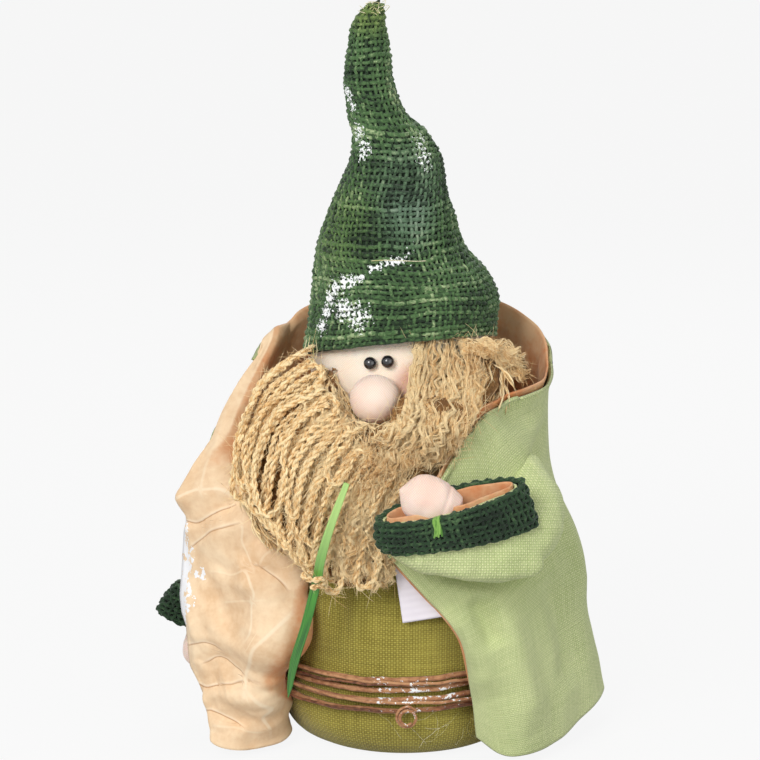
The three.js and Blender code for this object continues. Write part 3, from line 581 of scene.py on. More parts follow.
hat = {"height": 116.0, "rise": 6.5, "tilt": (0.1, -0.24), "widest": 34.5,
       # how far up (1 is the tip), shift to the figure's left, radius
       "stations": [(0, 0, 34.1), (0.13, 1.6, 33.2), (0.21, 0.4, 31), (0.3, -3, 26.4), (0.42, -3, 21.8),
                    (0.5, -2.2, 18.6), (0.57, -1.6, 16.4), (0.63, -3, 14.2), (0.69, -7.6, 10.8),
                    (0.78, -10.4, 9.6), (0.86, -10.8, 8.6), (0.94, -11, 6.8), (0.98, -10, 5.4), (1, -9, 4.4),
                    (1.015, -8, 3.2), (1.027, -6.8, 0.5)],
       "snow": [(-28.7, -17.4, 147.1, 3.6), (-27.6, -18.9, 152.3, 3.6), (-26.2, -19.7, 157.2, 3.6),
                (-24.2, -21.2, 161, 3.4), (-21.1, -23.5, 163.1, 3), (-18.1, -25.2, 164.5, 2.6),
                (-15, -26.6, 165.1, 2.2), (-23, -27, 155, 6.5), (-17, -31, 153, 6), (-11.4, -26.6, 168.9, 2),
                (-9, -26.8, 169.6, 2), (-6.7, -26.7, 170.6, 2), (-4.3, -26.5, 171.2, 2),
                (-2, -26.2, 171.5, 1.8), (0.4, -25.7, 171.8, 1.6), (2, -28, 175, 5), (-20.5, -4.7, 225.1, 3.2),
                (-19.8, -5.3, 222.5, 3), (-18.8, -6.3, 219.9, 2.6), (-17.8, -8.5, 211.8, 4.5),
                (-15.4, -12, 206.7, 4.5), (6.8, -12, 209.4, 5), (8.4, -13.5, 204, 5)],
       # places where the colour is greyer or yellower, the two grey ones down the front a painted highlight:
       # (x, y, z, reach), colour, share
       "patches": [((2.1, -17.3, 196, 19), tint(104, 124, 112), 0.5),
                   ((0.5, -22, 184, 15), tint(104, 126, 116), 0.5),
                   ((-24, -15, 180, 22), tint(104, 128, 54), 0.34),
                   ((-12, -4, 254, 14), tint(132, 146, 62), 0.5)]}
hatShares = np.array([s[0] for s in hat["stations"]])


def hatSize(h):
    h = np.clip(h, 0, hatShares[-1])
    index = np.interp(h, hatShares, np.linspace(0, 1, len(hatShares)))
    return along([s[1:] for s in hat["stations"]], index)


# a place on the hat's outside; theta is 0 at the front and grows towards the figure's left
def onHat(theta, h, out):
    theta, h, out = np.broadcast_arrays(*(np.asarray(value, float) for value in (theta, h, out)))
    shift, radius = hatSize(h).T
    lean = np.clip(1 - h / 0.3, 0, 1)
    rough = np.column_stack([radius * np.sin(theta), radius * np.cos(theta), h * hat["height"]])
    dent = (ripple(rough, 15, 2) * 0.8 + ripple(rough, 6, 5) * 0.3 - 0.5) * np.clip(h * 12, 0, 1)
    size = np.maximum(radius + out + dent, 0.2)
    dx, dy = size * np.sin(theta), -size * np.cos(theta)
    tilted = lean * (hat["tilt"][0] * dx + hat["tilt"][1] * dy)
    z = head["centre"][2] + hat["rise"] + h * hat["height"] + tilted
    return np.column_stack([head["centre"][0] + shift + dx, dy, z])


def hatYarnPlace(fixedValue, shares, lifts, sideways):
    if sideways:
        h = np.full(len(shares), fixedValue)
        theta = shares / hatSize(h)[:, 1]
    else:
        h = shares / hat["height"]
        theta = fixedValue / hatSize(h)[:, 1]
    # the cloth is pulled about, so its rows and columns wander together
    size = hatSize(h)[:, 1]
    cloth = np.column_stack([size * np.sin(theta), size * np.cos(theta), h * hat["height"]])
    ends = np.clip(h * 9, 0, 1) * np.clip((1 - h) * 9, 0, 1)
    h = h + ends * (ripple(cloth, 17, 11) * 1.9 + ripple(cloth, 6, 13) * 0.6) / hat["height"]
    theta = theta + (ripple(cloth, 15, 17) * 1.6 + ripple(cloth, 5, 19) * 0.5) / np.maximum(size, 4)
    return onHat(theta, h, lifts - 1.0)


def hatLines():
    pitch = burlap["pitch"]
    rows = [pitch * (j + 0.35) for j in range(int(hat["height"] * hatShares[-1] / pitch))]
    across, upward = [], []
    for j, height in enumerate(rows):
        half = math.pi * float(hatSize([height / hat["height"]])[0, 1])
        count = int(half / pitch)
        across.append((height / hat["height"], [(k, k * pitch) for k in range(-count, count + 1)], True))
    widest = int(math.pi * hat["widest"] / pitch)
    for k in range(-widest, widest + 1):
        met = [(j, height) for j, height in enumerate(rows)
               if abs(k * pitch) <= math.pi * float(hatSize([height / hat["height"]])[0, 1])]
        upward.append((k * pitch, met, False))
    return across, upward


burlapGreen = fibreMaterial("burlapGreen", burlap["light"], burlap["middle"], burlap["deep"],
                            grain=(700, 700, 900), snow=hat["snow"], openSnow=1.22, low=0.3, high=0.82,
                            ownShade=0.2, patches=hat["patches"], snowGrain=880.0)
cuffGreen = fibreMaterial("cuffGreen", burlap["cuffLight"], burlap["cuffMiddle"], burlap["cuffDeep"],
                          grain=(700, 700, 900), low=0.26, high=0.78, ownShade=0.15)
# painted shade: the near-black sheet seen through the weave's gaps
burlapShadeSheet = mottledMaterial("burlapShadeSheet", 0.95, 300.0, burlap["shadeSheet"], burlap["shadeSheetLight"])


def hatSurface(turns, rises):
    theta, h = np.meshgrid((turns - 0.5) * wholeTurn, rises * hatShares[-1], indexing="ij")
    return onHat(theta.ravel(), h.ravel(), -1.5).reshape(len(turns), len(rises), 3)


# the hat's near-black sheet under its yarns is painted shade for the gaps
hatMesh = gridMesh("hatShadeSheet", 96, 90, hatSurface, (0.2, 0.12), close=True)
hatShadeSheet = putPiece("hatShadeSheet", hatMesh, burlapShadeSheet, stands=["hat"])
thicken(hatShadeSheet, burlap["wall"])
for pieceName, lines, thickness in zip(("hatWeft", "hatWarp"), hatLines(), (1.08, 0.78)):
    yarns = weaveYarns(pieceName, lines, hatYarnPlace, burlap["yarn"] * thickness)
    putPiece(pieceName, yarns, burlapGreen)
    print(pieceName, len(yarns.polygons), "faces")


# Coat: one continuous sheet of linen and one of crumpled paper cloth inside it

coat = {"shell": 0.9, "lining": 0.6, "gap": 0.5, "linenGrid": (220, 98), "paperGrid": (330, 146),
        "pitch": 0.92,
        "flat": (0.31, 0.142), "cloth": 0.34,        # the UV map's size and the cloth's length, in metres
        "armholes": [((40, -23, 96), 7.0), ((-49, 4, 100), 6.5)],
        # shares round the coat where it starts to turn back, and over how much; where its edge starts to wave
        "turnedFrom": (0.74, 0.08), "edgeFrom": 0.86,
        # the strip's fold by height: how deep; where the cloth opens to the light by height: share round
        "stripDepth": ([92, 104, 120, 134], [0, 1.4, 2.6, 4.2]),
        "openFrom": ([0, 8, 20, 27, 60, 70], [0.79, 0.8, 0.85, 0.868, 0.868, 0.84]),
        "light": tint(226, 232, 176), "deep": tint(174, 190, 124),
        # the last colour here is painted shade: the warm dark brown the lining takes where it lies away from
        # the light
        "paper": tint(250, 224, 188), "paperDeep": tint(226, 188, 146), "inside": tint(212, 132, 78),
        # ribs from the left front round the back to the turned-back right front, each from the hem up:
        # (angle in degrees, radius, height)
        "ribs": [
            [[-61, 51, 10], [-64, 50, 30], [-69, 49.5, 47], [-83, 49.3, 61.5], [-97, 51, 76]],
            [[-56, 59, 5], [-58, 54, 28], [-62, 52, 49], [-70, 51, 71], [-85, 50, 90.5]],
            [[-49, 61.5, 4], [-50, 57, 30], [-52, 54, 56], [-58, 52, 82], [-72, 47.5, 107]],
            [[-36, 60.5, 3.5], [-37, 58, 32], [-40, 55, 61], [-45, 51, 91], [-57, 43.5, 121]],
            [[-20, 63, 6.5], [-20, 61.5, 35], [-23, 56.5, 66], [-27, 50, 97], [-40, 43, 124]],
            [[0, 69.5, 12], [-1, 64.5, 38], [-3, 60, 67], [-7, 48.5, 94], [-13, 47, 128]],
            [[28, 64, 7], [26, 58, 40], [22, 54, 72], [16, 49.5, 104], [9, 49, 137]],
            [[58, 59, 5], [56, 53, 42], [52, 48, 77], [46, 45, 111], [37, 42.5, 146]],
            [[92, 57, 4], [90, 51, 42], [88, 47, 78], [86, 42, 113], [80, 42, 150]],
            [[125, 56, 4], [125, 51, 42], [125, 47, 78], [125, 42, 112], [121, 41.5, 147]],
            [[154, 53, 4], [156, 50, 39], [156, 48, 74], [155, 49, 108], [149, 42, 144]],
            [[178, 50.5, 4], [182, 49.5, 36], [184, 50, 69], [178, 54, 103], [157, 43.5, 140.8]],
            [[197, 50, 3.5], [203, 51, 31], [212, 50, 62], [193, 58.5, 98], [165, 46, 140.3]],
            [[208, 53, 3], [213, 60, 29], [224, 51.5, 63], [194, 64.5, 99], [169, 48.2, 138.7]],
            [[210, 67, 1.6], [206, 68, 30], [210, 63, 61], [191, 68.5, 97], [173, 50.4, 136.6]],
            [[205, 72, 6], [197, 77.5, 33], [193, 76.5, 60], [189.5, 71, 96], [176.5, 51.8, 133.7]]],
        # how far the turned-back front's free edge waves outwards: (height, shift)
        "edge": [(0, -0.5), (13, -1), (20, -2.2), (28, 0.4), (35, -0.4), (42, -0.6), (46, 1.2), (52, 2.6),
                 (66, 2.9), (74, 2.9), (77, 2.2), (84, 3.2), (92, 1.9), (103, 0.8), (113, 1.6), (124, 2),
                 (136, 0)],
        # the fold that parts the lit strip from the coat's inside, seen from the front: (x, z)
        "strip": [(-41, 142), (-45.7, 135.8), (-48, 133.1), (-50.2, 128.5), (-52.8, 121.7), (-55, 118.3),
                  (-58.2, 113.5), (-60.4, 108.2), (-64.1, 101.2), (-65.5, 94)],
        # soft folds of both sheets at the front: reach to each side, height (a valley below zero) and
        # places (x, z)
        "folds": [(3.2, -4.0, [(6, 72), (16, 68.5), (26, 66.2), (36, 66.8), (46, 72), (52, 80)]),
                  (3.6, -3.6, [(22, 61), (26.5, 51), (30, 42)]), (5, 3.4, [(30, 60), (37, 38), (43, 10)]),
                  (3.4, -3.8, [(51, 112), (46.5, 104), (43, 94)]), (6, 2.8, [(14, 58), (24, 40), (28, 24)]),
                  (6, 2.4, [(58, 92), (60, 72), (63, 46)]), (4, -3.0, [(47, 62), (54, 44), (57, 20)]),
                  (4, -2.6, [(30, 122), (40, 116), (50, 119)]), (6, 2.2, [(34, 132), (44, 127), (53, 128)])],
        # the lining's creases, told the same way
        "creases": [
            (8, 2.6, [(-76, 84), (-72.4, 85.5), (-68.7, 88), (-65.7, 89.1), (-60.5, 90.2), (-56, 86)]),
            (7, -3.2, [(-77, 77), (-73.4, 78.1), (-68.8, 78.5), (-64.2, 81.5), (-58.2, 85), (-54, 86)]),
            (6, -1.5, [(-74, 68), (-72, 69.5), (-66.6, 73.7), (-62.9, 76.5), (-58.9, 78.1), (-52, 80.4)]),
            (6, 1.4, [(-53, 83), (-52.6, 78.2), (-53, 74.4), (-51.6, 70.9), (-50.3, 67.6), (-49, 64)]),
            (6, -1.6, [(-53.5, 66), (-50.9, 66.5), (-48.1, 67.4), (-44.9, 64.9), (-41.8, 62.4), (-39, 59)]),
            (5, 1, [(-48.5, 66), (-47.1, 68.5), (-45.7, 70.8), (-42.9, 72.3), (-40.2, 70.4), (-38, 67)]),
            (9, 2.2, [(-54, 69), (-52.4, 66.3), (-48.8, 59.3), (-49.8, 54.3), (-49.6, 46.6), (-52, 41)]),
            (7, 0.9, [(-62, 52.5), (-58.7, 53.9), (-53.7, 55.4), (-47.9, 56.7), (-44, 57)]),
            (6, -1.6, [(-76, 35), (-73.5, 35.6), (-68, 38.2), (-64.7, 38.5), (-60, 37)]),
            (7, -1.8, [(-69, 30), (-66.2, 31.8), (-63.7, 33.7), (-60.9, 34), (-58.2, 32.8), (-54.3, 30.8),
                       (-51, 28)]),
            (8, -3, [(-75, 23), (-71.3, 22.6), (-67.3, 22), (-63.3, 23.5), (-60, 24.5)]),
            (5, -1.2, [(-63, 24), (-61.7, 24.7), (-57.7, 25.5), (-53.9, 27.9), (-51, 30)]),
            (7, -2.2, [(-68, 15.5), (-65.8, 14.9), (-62.7, 14.1), (-59, 11.6), (-56, 9)]),
            (10, 3, [(-36, 58), (-38.5, 54.5), (-45.7, 45.4), (-48.7, 41.4), (-50.6, 36.5), (-52.8, 31.1),
                     (-53.8, 25.2), (-55, 20)]),
            (6, 1.8, [(-54, 27), (-53, 24.4), (-52, 21.4), (-50.7, 18), (-51.7, 14.5), (-50.3, 8.7),
                      (-50, 5)]),
            (6, 1, [(-66, 62), (-63.1, 63.2), (-56.8, 63.1), (-51.2, 66), (-49, 67)]),
            (5, 0.9, [(-65, 10), (-61.2, 9.7), (-54.3, 8.3), (-50, 9)]),
            (4, -1.2, [(-50, 130.5), (-48.1, 130.5), (-44.9, 129.1), (-42, 132.8), (-40, 135)]),
            (3, 0.8, [(-65.6, 99.8), (-65.7, 94), (-65.7, 89.1), (-65.5, 86)])],
        "snow": [(-78.5, -14.5, 74, 6.5), (-79, -16, 68, 7), (-79, -17, 62, 7), (-79, -18, 56, 7),
                 (-78, -19, 50, 6.5), (-76, -20, 45, 4), (-69.2, -21.7, 60, 3.6), (-69.4, -21.7, 57.5, 3.2)]}


def coatRibPoints():
    ribs = np.array(coat["ribs"], float)
    angle = np.radians(ribs[..., 0])
    return np.stack([ribs[..., 1] * np.cos(angle), ribs[..., 1] * np.sin(angle), ribs[..., 2]], -1)


# the sheet between linen and lining, and its outward direction
def coatMiddle(turns, rises):
    upRibs = along(coatRibPoints().transpose(1, 0, 2), rises)
    middle = along(upRibs.transpose(1, 0, 2), turns)
    turnWay = np.gradient(middle, axis=0)
    upWay = np.gradient(middle, axis=1)
    out = np.cross(turnWay, upWay)
    out /= np.linalg.norm(out, axis=2, keepdims=True)
    return middle, out, turnWay / np.linalg.norm(turnWay, axis=2, keepdims=True)


# signed distance in mm from places (x, z) to a line, and how much of the line's strength is left there
def besideLine(flat, line):
    line = evenly(np.array(line), 24)
    away, share = np.full(len(flat), 1e6), np.zeros(len(flat))
    for k in range(len(line) - 1):
        step = line[k + 1] - line[k]
        offset = flat - line[k]
        t = np.clip(offset @ step / (step @ step), 0, 1)
        gap = np.linalg.norm(offset - t[:, None] * step, axis=1)
        side = np.where(step[0] * offset[:, 1] - step[1] * offset[:, 0] > 0, 1, -1)
        nearer = gap < np.abs(away)
        away = np.where(nearer, gap * side, away)
        share = np.where(nearer, (k + t) / (len(line) - 1), share)
    return away, np.clip(np.minimum(share, 1 - share) * 5, 0, 1)


# flat facets that meet in straight creases, at random
def crumple(points, size, seed, ways=6):
    flat = points.reshape(-1, 3)
    pick = random.Random(seed)
    pushed = np.zeros(len(flat))
    for k in range(ways):
        way = np.array([pick.gauss(0, 1), pick.gauss(0, 0.4), pick.gauss(0, 1)])
        way /= np.linalg.norm(way) * size * pick.uniform(0.8, 1.7)
        run = flat @ way + 0.3 * ripple(flat, size * 1.5, seed + k) + pick.random()
        shown = np.clip(1.8 * ripple(flat, size * 1.3, seed + k + 20) + 0.3, 0, 1)
        pushed += 2 * np.abs(run % 1 - 0.5) * shown
    return pushed.reshape(points.shape[:-1])


# what both sheets share: the soft folds, the deep fold beside the strip and the waving free edge
def coatForm(turns, rises):
    middle, out, turnWay = coatMiddle(turns, rises)
    flat = middle.reshape(-1, 3)
    soft = ripple(flat * (1, 1, 0.35), 17, 3) * 1.3 + ripple(flat * (1, 1, 0.6), 7, 9) * 0.35
    turnedFrom, turnedOver = coat["turnedFrom"]
    turnedBack = np.repeat(np.clip((turns - turnedFrom) / turnedOver, 0, 1), len(rises))
    atFront = np.clip(-flat[:, 1] / 12, 0, 1) * (1 - turnedBack)
    for reach, height, line in coat["folds"]:
        away, strength = besideLine(flat[:, [0, 2]], line)
        soft += atFront * height * strength * np.exp(-(away / reach) ** 2)
    atBack = np.clip((flat[:, 1] + 5) / 20, 0, 1) * np.clip((flat[:, 0] + 48) / 16, 0, 1)
    soft += atBack * ripple(flat * (1, 1, 0.14), 13, 5) * 1.5
    away, strength = besideLine(flat[:, [0, 2]], coat["strip"])
    depth = np.interp(flat[:, 2], *coat["stripDepth"])
    reach = np.where(away < 0, 9.0, 8.0)
    soft -= turnedBack * depth * np.maximum(0, 1 - np.abs(away) / reach)
    nearEdge = (turns - coat["edgeFrom"]) / (1 - coat["edgeFrom"])
    nearEdge = np.repeat(np.clip(nearEdge, 0, 1) ** 1.6, len(rises))
    wave = np.interp(flat[:, 2], *np.array(coat["edge"]).T) * nearEdge
    shape = middle.shape[:2]
    middle = middle + turnWay * wave.reshape(shape)[..., None]
    return middle, out, turnWay, soft.reshape(shape), turnedBack.reshape(shape), away.reshape(shape)


def coatShellSurface(turns, rises):
    middle, out, _, soft, _, _ = coatForm(turns, rises)
    surface = middle + out * (soft + coat["gap"] / 2 + coat["shell"])[..., None]
    lowered = surface[:, -2] - surface[:, -5]
    surface[:, -1] = surface[:, -2] - lowered * 0.15
    return surface


# the listed creases: how far they push, and for the material the nearest one's distance and height
def coatCreases(turns, rises):
    middle, _, _, _, turnedBack, strip = coatForm(turns, rises)
    flat = middle.reshape(-1, 3)[:, [0, 2]]
    pushed, nearest, fold = np.zeros(len(flat)), np.full(len(flat), 9.0), np.zeros(len(flat))
    for reach, height, line in coat["creases"]:
        away, strength = besideLine(flat, line)
        pushed += height * strength * np.maximum(0, 1 - np.abs(away) / reach)
        nearer = (np.abs(away) < np.abs(nearest)) & (strength > 0)
        nearest = np.where(nearer, away, nearest)
        fold = np.where(nearer, np.sign(height) * min(1, abs(height) / 2) ** 0.6 * strength, fold)
    fold = np.where(np.abs(nearest) < 1.7, fold, 0)
    shape = middle.shape[:2]
    # it lies open to the light left of the strip's fold, and below that left of the fold beside the body;
    # elsewhere the paper gets painted shade
    start = np.interp(middle[..., 2], *coat["openFrom"])
    opened = np.clip((turns[:, None] - start) / 0.008, 0, 1)
    lit = np.clip(np.maximum(-strip / 0.7 + 0.5, (103 - middle[..., 2]) / 7), 0, 1) * opened
    return {"pushed": pushed.reshape(shape) * turnedBack, "away": nearest.reshape(shape),
            "fold": fold.reshape(shape) * turnedBack, "lit": lit}


def coatLiningSurface(turns, rises):
    middle, out, turnWay, soft, turnedBack, strip = coatForm(turns, rises)
    crumpled = 3.0 * crumple(middle, 24, 2) + 1.0 * crumple(middle, 11, 7)
    inward = 1.2 * coatCreases(turns, rises)["pushed"] + crumpled * (0.3 + 0.7 * turnedBack)
    # the paper lies close to the linen beside the strip's fold, at the top and at the free edge
    besideStrip = np.clip(1.7 * np.exp(-(strip / 8) ** 2), 0, 1)
    inward = inward * (1 - besideStrip * np.clip((middle[..., 2] - 96) / 8, 0, 1))
    inward = np.maximum(inward, 0) * np.clip((1 - rises) / 0.05, 0, 1)
    inward = inward * np.clip((1 - turns) / 0.015, 0, 1)[:, None]
    curl = np.interp(turns, [0, 0.55, 0.62, 1], [0.3, 0.3, 1.7, 1.7])[:, None]
    curl = curl * np.clip((rises - 0.988) / 0.01, 0, 1)
    surface = middle + out * (soft - coat["gap"] / 2 - inward + curl)[..., None]
    surface[0] -= turnWay[0] * 0.9
    surface[-1] += turnWay[-1] * 0.5
    topWay = surface[:, -5] - surface[:, -8]
    surface[:, -2:] += (topWay / np.linalg.norm(topWay, axis=1, keepdims=True))[:, None] * 0.9
    return surface


# opens the cloth where an arm goes through it
def openArmholes(mesh, holes):
    bm = bmesh.new()
    bm.from_mesh(mesh)
    gone = [face for face in bm.faces if any(
        (face.calc_center_median() - metres(*centre)).length < radius * 0.001 for centre, radius in holes)]
    bmesh.ops.delete(bm, geom=gone, context="FACES")
    bm.to_mesh(mesh)
    bm.free()


coatLinen = linenMaterial("paleLinen", coat["light"], coat["deep"], coat["pitch"], patches=20.0)
paperCloth = paperMaterial("paperCloth", coat["paper"], coat["paperDeep"], coat["inside"], snow=coat["snow"])
coatSheets = {
    "coatLinen": (coat["linenGrid"], coatShellSurface, None, coatLinen, "pale_linen", "shell"),
    "coatPaper": (coat["paperGrid"], coatLiningSurface, coatCreases, paperCloth, "paper_cloth", "lining")}
for pieceName, (grid, surface, marks, material, slotName, layer) in coatSheets.items():
    mesh = gridMesh(pieceName, *grid, surface, coat["flat"], marks=marks)
    openArmholes(mesh, coat["armholes"])
    sheetPiece = putPiece(pieceName, mesh, material, stands=["coat_" + layer])
    thicken(sheetPiece, coat[layer])


# Arms: a sleeve is a stack of flat ellipses that lean and turn towards the mouth

# stations are (x, y, z, half width, half depth), upper is (x, y, z, radius) from the shoulder down,
# hand is its wrist, tip and radius; outward is the way the arm leaves the coat, cloth its length in metres
arms = {
    "left": {"stations": [[31, -58.5, 68, 8, 2.4], [30, -59, 70.5, 15, 5], [24, -60, 76, 21.5, 6.8],
                          [19, -61, 83, 24.2, 7.2], [16, -61.5, 90, 23.6, 7], [14.5, -61.5, 97, 22.6, 6.6]],
             "rise": 0.22, "tilt": 0.3, "yaw": 0.16, "shoulder": (40, -23, 96), "cuff": 11,
             "outward": (0.1, -1, -0.1), "cloth": 0.11,
             "upper": [[40, -23, 96, 8.5], [43, -35, 89, 10.5], [41, -47, 83, 11], [31, -59.5, 81, 5.5]],
             "hand": ((18, -61, 93.4), (-2, -62, 101.6), 8.2)},
    "right": {"stations": [[-59.5, 5, 90, 9, 8.6], [-62, 6, 75, 9.6, 8.4], [-62.5, 7, 60, 10.2, 8.2],
                           [-65.5, 8, 46, 13, 7.8], [-69.6, 9, 32.5, 15.8, 7]],
              "rise": -0.5, "tilt": 0, "yaw": 0.55, "shoulder": (-49, 4, 100), "cuff": 12,
              "outward": (-0.8, 0.05, -0.6), "cloth": 0.07,
              "upper": [[-49, 4, 100, 8.5], [-54, 4.6, 96.5, 8.6], [-59, 5.2, 88, 7.5]],
              "hand": ((-69, 8.5, 35), (-73, 7.5, 16), 7.8)}}
cuffWall = 1.7
cuffTie = {"middle": 9.8, "reach": 3.8, "threads": 7}        # the tie's place along X, in millimetres
handSizes = [[0.5], [0.74], [0.9], [0.99], [1.0], [0.93], [0.68], [0.0]]        # from the wrist to the tip


# a place on a sleeve at a height, grown outwards; angle 0 is its +X end
def onSleeve(arm, z, angle, grow):
    stations = np.array(arm["stations"], float)
    z, angle, grow = np.broadcast_arrays(*(np.asarray(value, float) for value in (z, angle, grow)))
    order = 1 if stations[-1, 2] > stations[0, 2] else -1
    index = np.interp(z * order, stations[:, 2] * order, np.linspace(0, 1, len(stations)))
    x, y, _, a, b = along(stations, index).T
    first, last = stations[0, 2], stations[-1, 2]
    share = np.clip((z - first) / (last - first), 0, 1.15)
    dx, dy = (a + grow) * np.cos(angle), (b + grow) * np.sin(angle)
    lifted = z + share * (arm["rise"] * dx + arm["tilt"] * dy)
    return np.column_stack([x + dx, y + dy + arm["yaw"] * dx, lifted])


def mouthPlane(arm, past=0.0):
    x, y, z = arm["stations"][-1][:3]
    way = np.sign(z - arm["stations"][0][2])
    normal = Vector((-(arm["rise"] - arm["tilt"] * arm["yaw"]), -arm["tilt"], 1.0)) * way
    normal.normalize()
    return metres(x, y, z) + normal * past * 0.001, normal


# a sleeve's outside as one smooth skin, open at its mouth
def sleeveSkin(name, arm, inset, past):
    stations = np.array(arm["stations"], float)
    first, last = stations[0, 2], stations[-1, 2]
    beyond = last + np.sign(last - first) * 6

    def pouch(turns, rises):
        heights = first + (beyond - first) * rises
        size = np.minimum(1, np.maximum(0.02, (rises * 9) ** 0.5))
        rings = []
        for height, fill in zip(heights, size):
            ring = onSleeve(arm, height, turns * wholeTurn, -inset)
            middle = ring[:-1].mean(0)
            rings.append(middle + (ring - middle) * (fill if height != heights[-1] else 0.02))
        return np.stack(rings, 1)

    bm = bmesh.new()
    part = gridMesh(name, 60, 40, pouch, (0.1, 0.1), close=True)
    bm.from_mesh(part)
    path = np.array([p[:3] for p in arm["upper"]])
    size = np.array([[p[3] - inset] for p in arm["upper"]])
    for share in np.linspace(0, 1, 14):
        middle = along(path, [share])[0]
        radius = max(1.0, float(along(size, [share])[0, 0])) * 0.001
        at = Matrix.Translation(metres(*middle))
        bmesh.ops.create_icosphere(bm, subdivisions=3, radius=radius, matrix=at)
    bm.to_mesh(part)
    bm.free()
    bm = oneSkin(name, part, 0.9, 8)
    for vert in bm.verts:
        place = vert.co * 1000
        wave = noise.noise(Vector((place.x, place.y, place.z * 0.5)) / 11) * 1.1
        wave += noise.noise(place / 4.5) * 0.35
        vert.co += vert.normal * (wave - 0.3) * 0.001
    spot, normal = mouthPlane(arm, past)
    geom = bm.verts[:] + bm.edges[:] + bm.faces[:]
    bmesh.ops.bisect_plane(bm, geom=geom, dist=1e-6, plane_co=spot, plane_no=normal, clear_outer=True)
    layer = bm.loops.layers.uv.new("flat")
    for face in bm.faces:
        for loop in face.loops:
            loop[layer].uv = (loop.vert.co.x + loop.vert.co.y * 0.4, loop.vert.co.z + loop.vert.co.y * 0.3)
    return meshFrom(bm, name, turnOut=False)


def handMesh(name, wrist, tip, radius):
    wrist, tip = Vector(wrist), Vector(tip)
    way = (tip - wrist).normalized()
    across = Vector((0, 1, 0)).cross(way).normalized()
    depth = way.cross(across)
    bm = bmesh.new()
    bmesh.ops.create_uvsphere(bm, u_segments=48, v_segments=40, radius=1)
    for vert in bm.verts:
        share = 1 - math.acos(max(-1, min(1, vert.co.z))) / math.pi
        flatWay = Vector((vert.co.x, vert.co.y))
        turn = flatWay.normalized() if flatWay.length > 1e-6 else Vector((1, 0))
        size = float(along(handSizes, [share])[0, 0]) * radius if 1e-4 < share < 0.9999 else 0
        ends = min(1.0, share * 14) ** 0.5
        lump = 1 + 0.05 * noise.noise(vert.co * 2.1 + Vector((radius, 2, 0)))
        seam = 1 - 0.05 * math.exp(-((share - 0.3) / 0.022) ** 2)
        beside = (across * turn.x + depth * turn.y * 0.84) * size * ends * lump * seam
        vert.co = (wrist + (tip - wrist) * (share * 1.02) + beside) * 0.001
    return meshFrom(bm, name)


# the cuff's outline runs up its outside, over the rim and a little way down inside
def onCuff(arm, distance, angle, lift):
    distance, angle, lift = np.broadcast_arrays(distance, angle, lift)
    high, wall = arm["cuff"], cuffWall
    way = np.sign(arm["stations"][-1][2] - arm["stations"][0][2])
    top = arm["stations"][-1][2]
    climb = np.clip(distance, -1.5, high)
    over = np.clip(distance - high, 0, math.pi * wall / 2)
    down = np.clip(distance - high - math.pi * wall / 2, 0, 8)
    swing = over / (wall / 2)
    under = np.clip(-distance, 0, 1.5)
    bulge = 0.7 * np.sin(np.clip(distance / high, 0, 1) * math.pi)
    out = 0.3 + wall / 2 + (wall / 2 + lift) * np.cos(swing) + bulge * np.cos(swing) - under * 0.8
    up = (wall / 2 + lift) * np.sin(swing) * 0.9
    return onSleeve(arm, top - way * (high - climb + down) + way * up, angle, out)


def cuffPieces(side, arm, tied):
    pitch = burlap["pitch"] * 0.95
    angles = np.linspace(0, wholeTurn, 200)
    ringed = onSleeve(arm, arm["stations"][-1][2], angles, 2)
    around, travelled = lengthOf(ringed), travelledAlong(ringed)
    count = int(around / pitch / 2) * 2
    step = around / count
    length = arm["cuff"] + math.pi * cuffWall / 2 + 2.2

    # the tie draws the left cuff together
    def pinch(points):
        if not tied:
            return points
        beside = points[:, 0] - cuffTie["middle"]
        near = np.exp(-(beside / cuffTie["reach"]) ** 2) * (points[:, 1] < -64)
        low = np.clip((98.5 - points[:, 2]) / 6, 0, 1)
        dip = np.column_stack([0.25 * -beside * near, 0.6 * near, (2.2 * (1 - low)) * -near])
        return points + dip

    def place(fixedValue, shares, lifts, sideways):
        run = shares if sideways else np.full(len(shares), fixedValue)
        climb = np.full(len(shares), fixedValue) if sideways else shares
        turn = np.interp(run % around, travelled, angles)
        return pinch(onCuff(arm, climb, turn, lifts - 0.35))

    rows = int(length / pitch)
    across = [(j * pitch - 0.4, [(k, k * step) for k in range(count + 1)], True) for j in range(rows + 1)]
    upward = [(k * step, [(j, j * pitch - 0.4) for j in range(rows + 1)], False) for k in range(count)]
    strands = weaveYarns(side + "CuffYarns", across + upward, place, burlap["yarn"] * 0.9)

    # the cuff's near-black sheet under its yarns: painted shade for the gaps
    def shadeSheet(turns, rises):
        angle, climb = np.meshgrid(turns * wholeTurn, rises * (length + 0.8) - 0.8, indexing="ij")
        points = onCuff(arm, climb.ravel(), angle.ravel(), -0.75)
        return pinch(points).reshape(len(turns), len(rises), 3)

    threads = []
    for k in range(cuffTie["threads"] if tied else 0):
        run = np.linspace(5.4 + 0.5 * (k % 3), length - 2.6, 30)
        angle = 1.5 * math.pi - 0.19 + 0.02 * (k - 3) * (1 + 0.25 * np.sin(run * 0.5)) + 0.01 * np.sin(run + k)
        threads.append((pinch(onCuff(arm, run, angle, 0.5 + 0.16 * (k % 2))), 0.36 + 0.06 * (k % 3)))
    backed = gridMesh(side + "CuffShadeSheet", 96, 24, shadeSheet, (around / 1000, 0.018), close=True)
    return strands, backed, threads


tieGreen = fibreMaterial("tieGreen", tint(132, 176, 84), tint(78, 128, 50), tint(36, 72, 26), low=0.3)
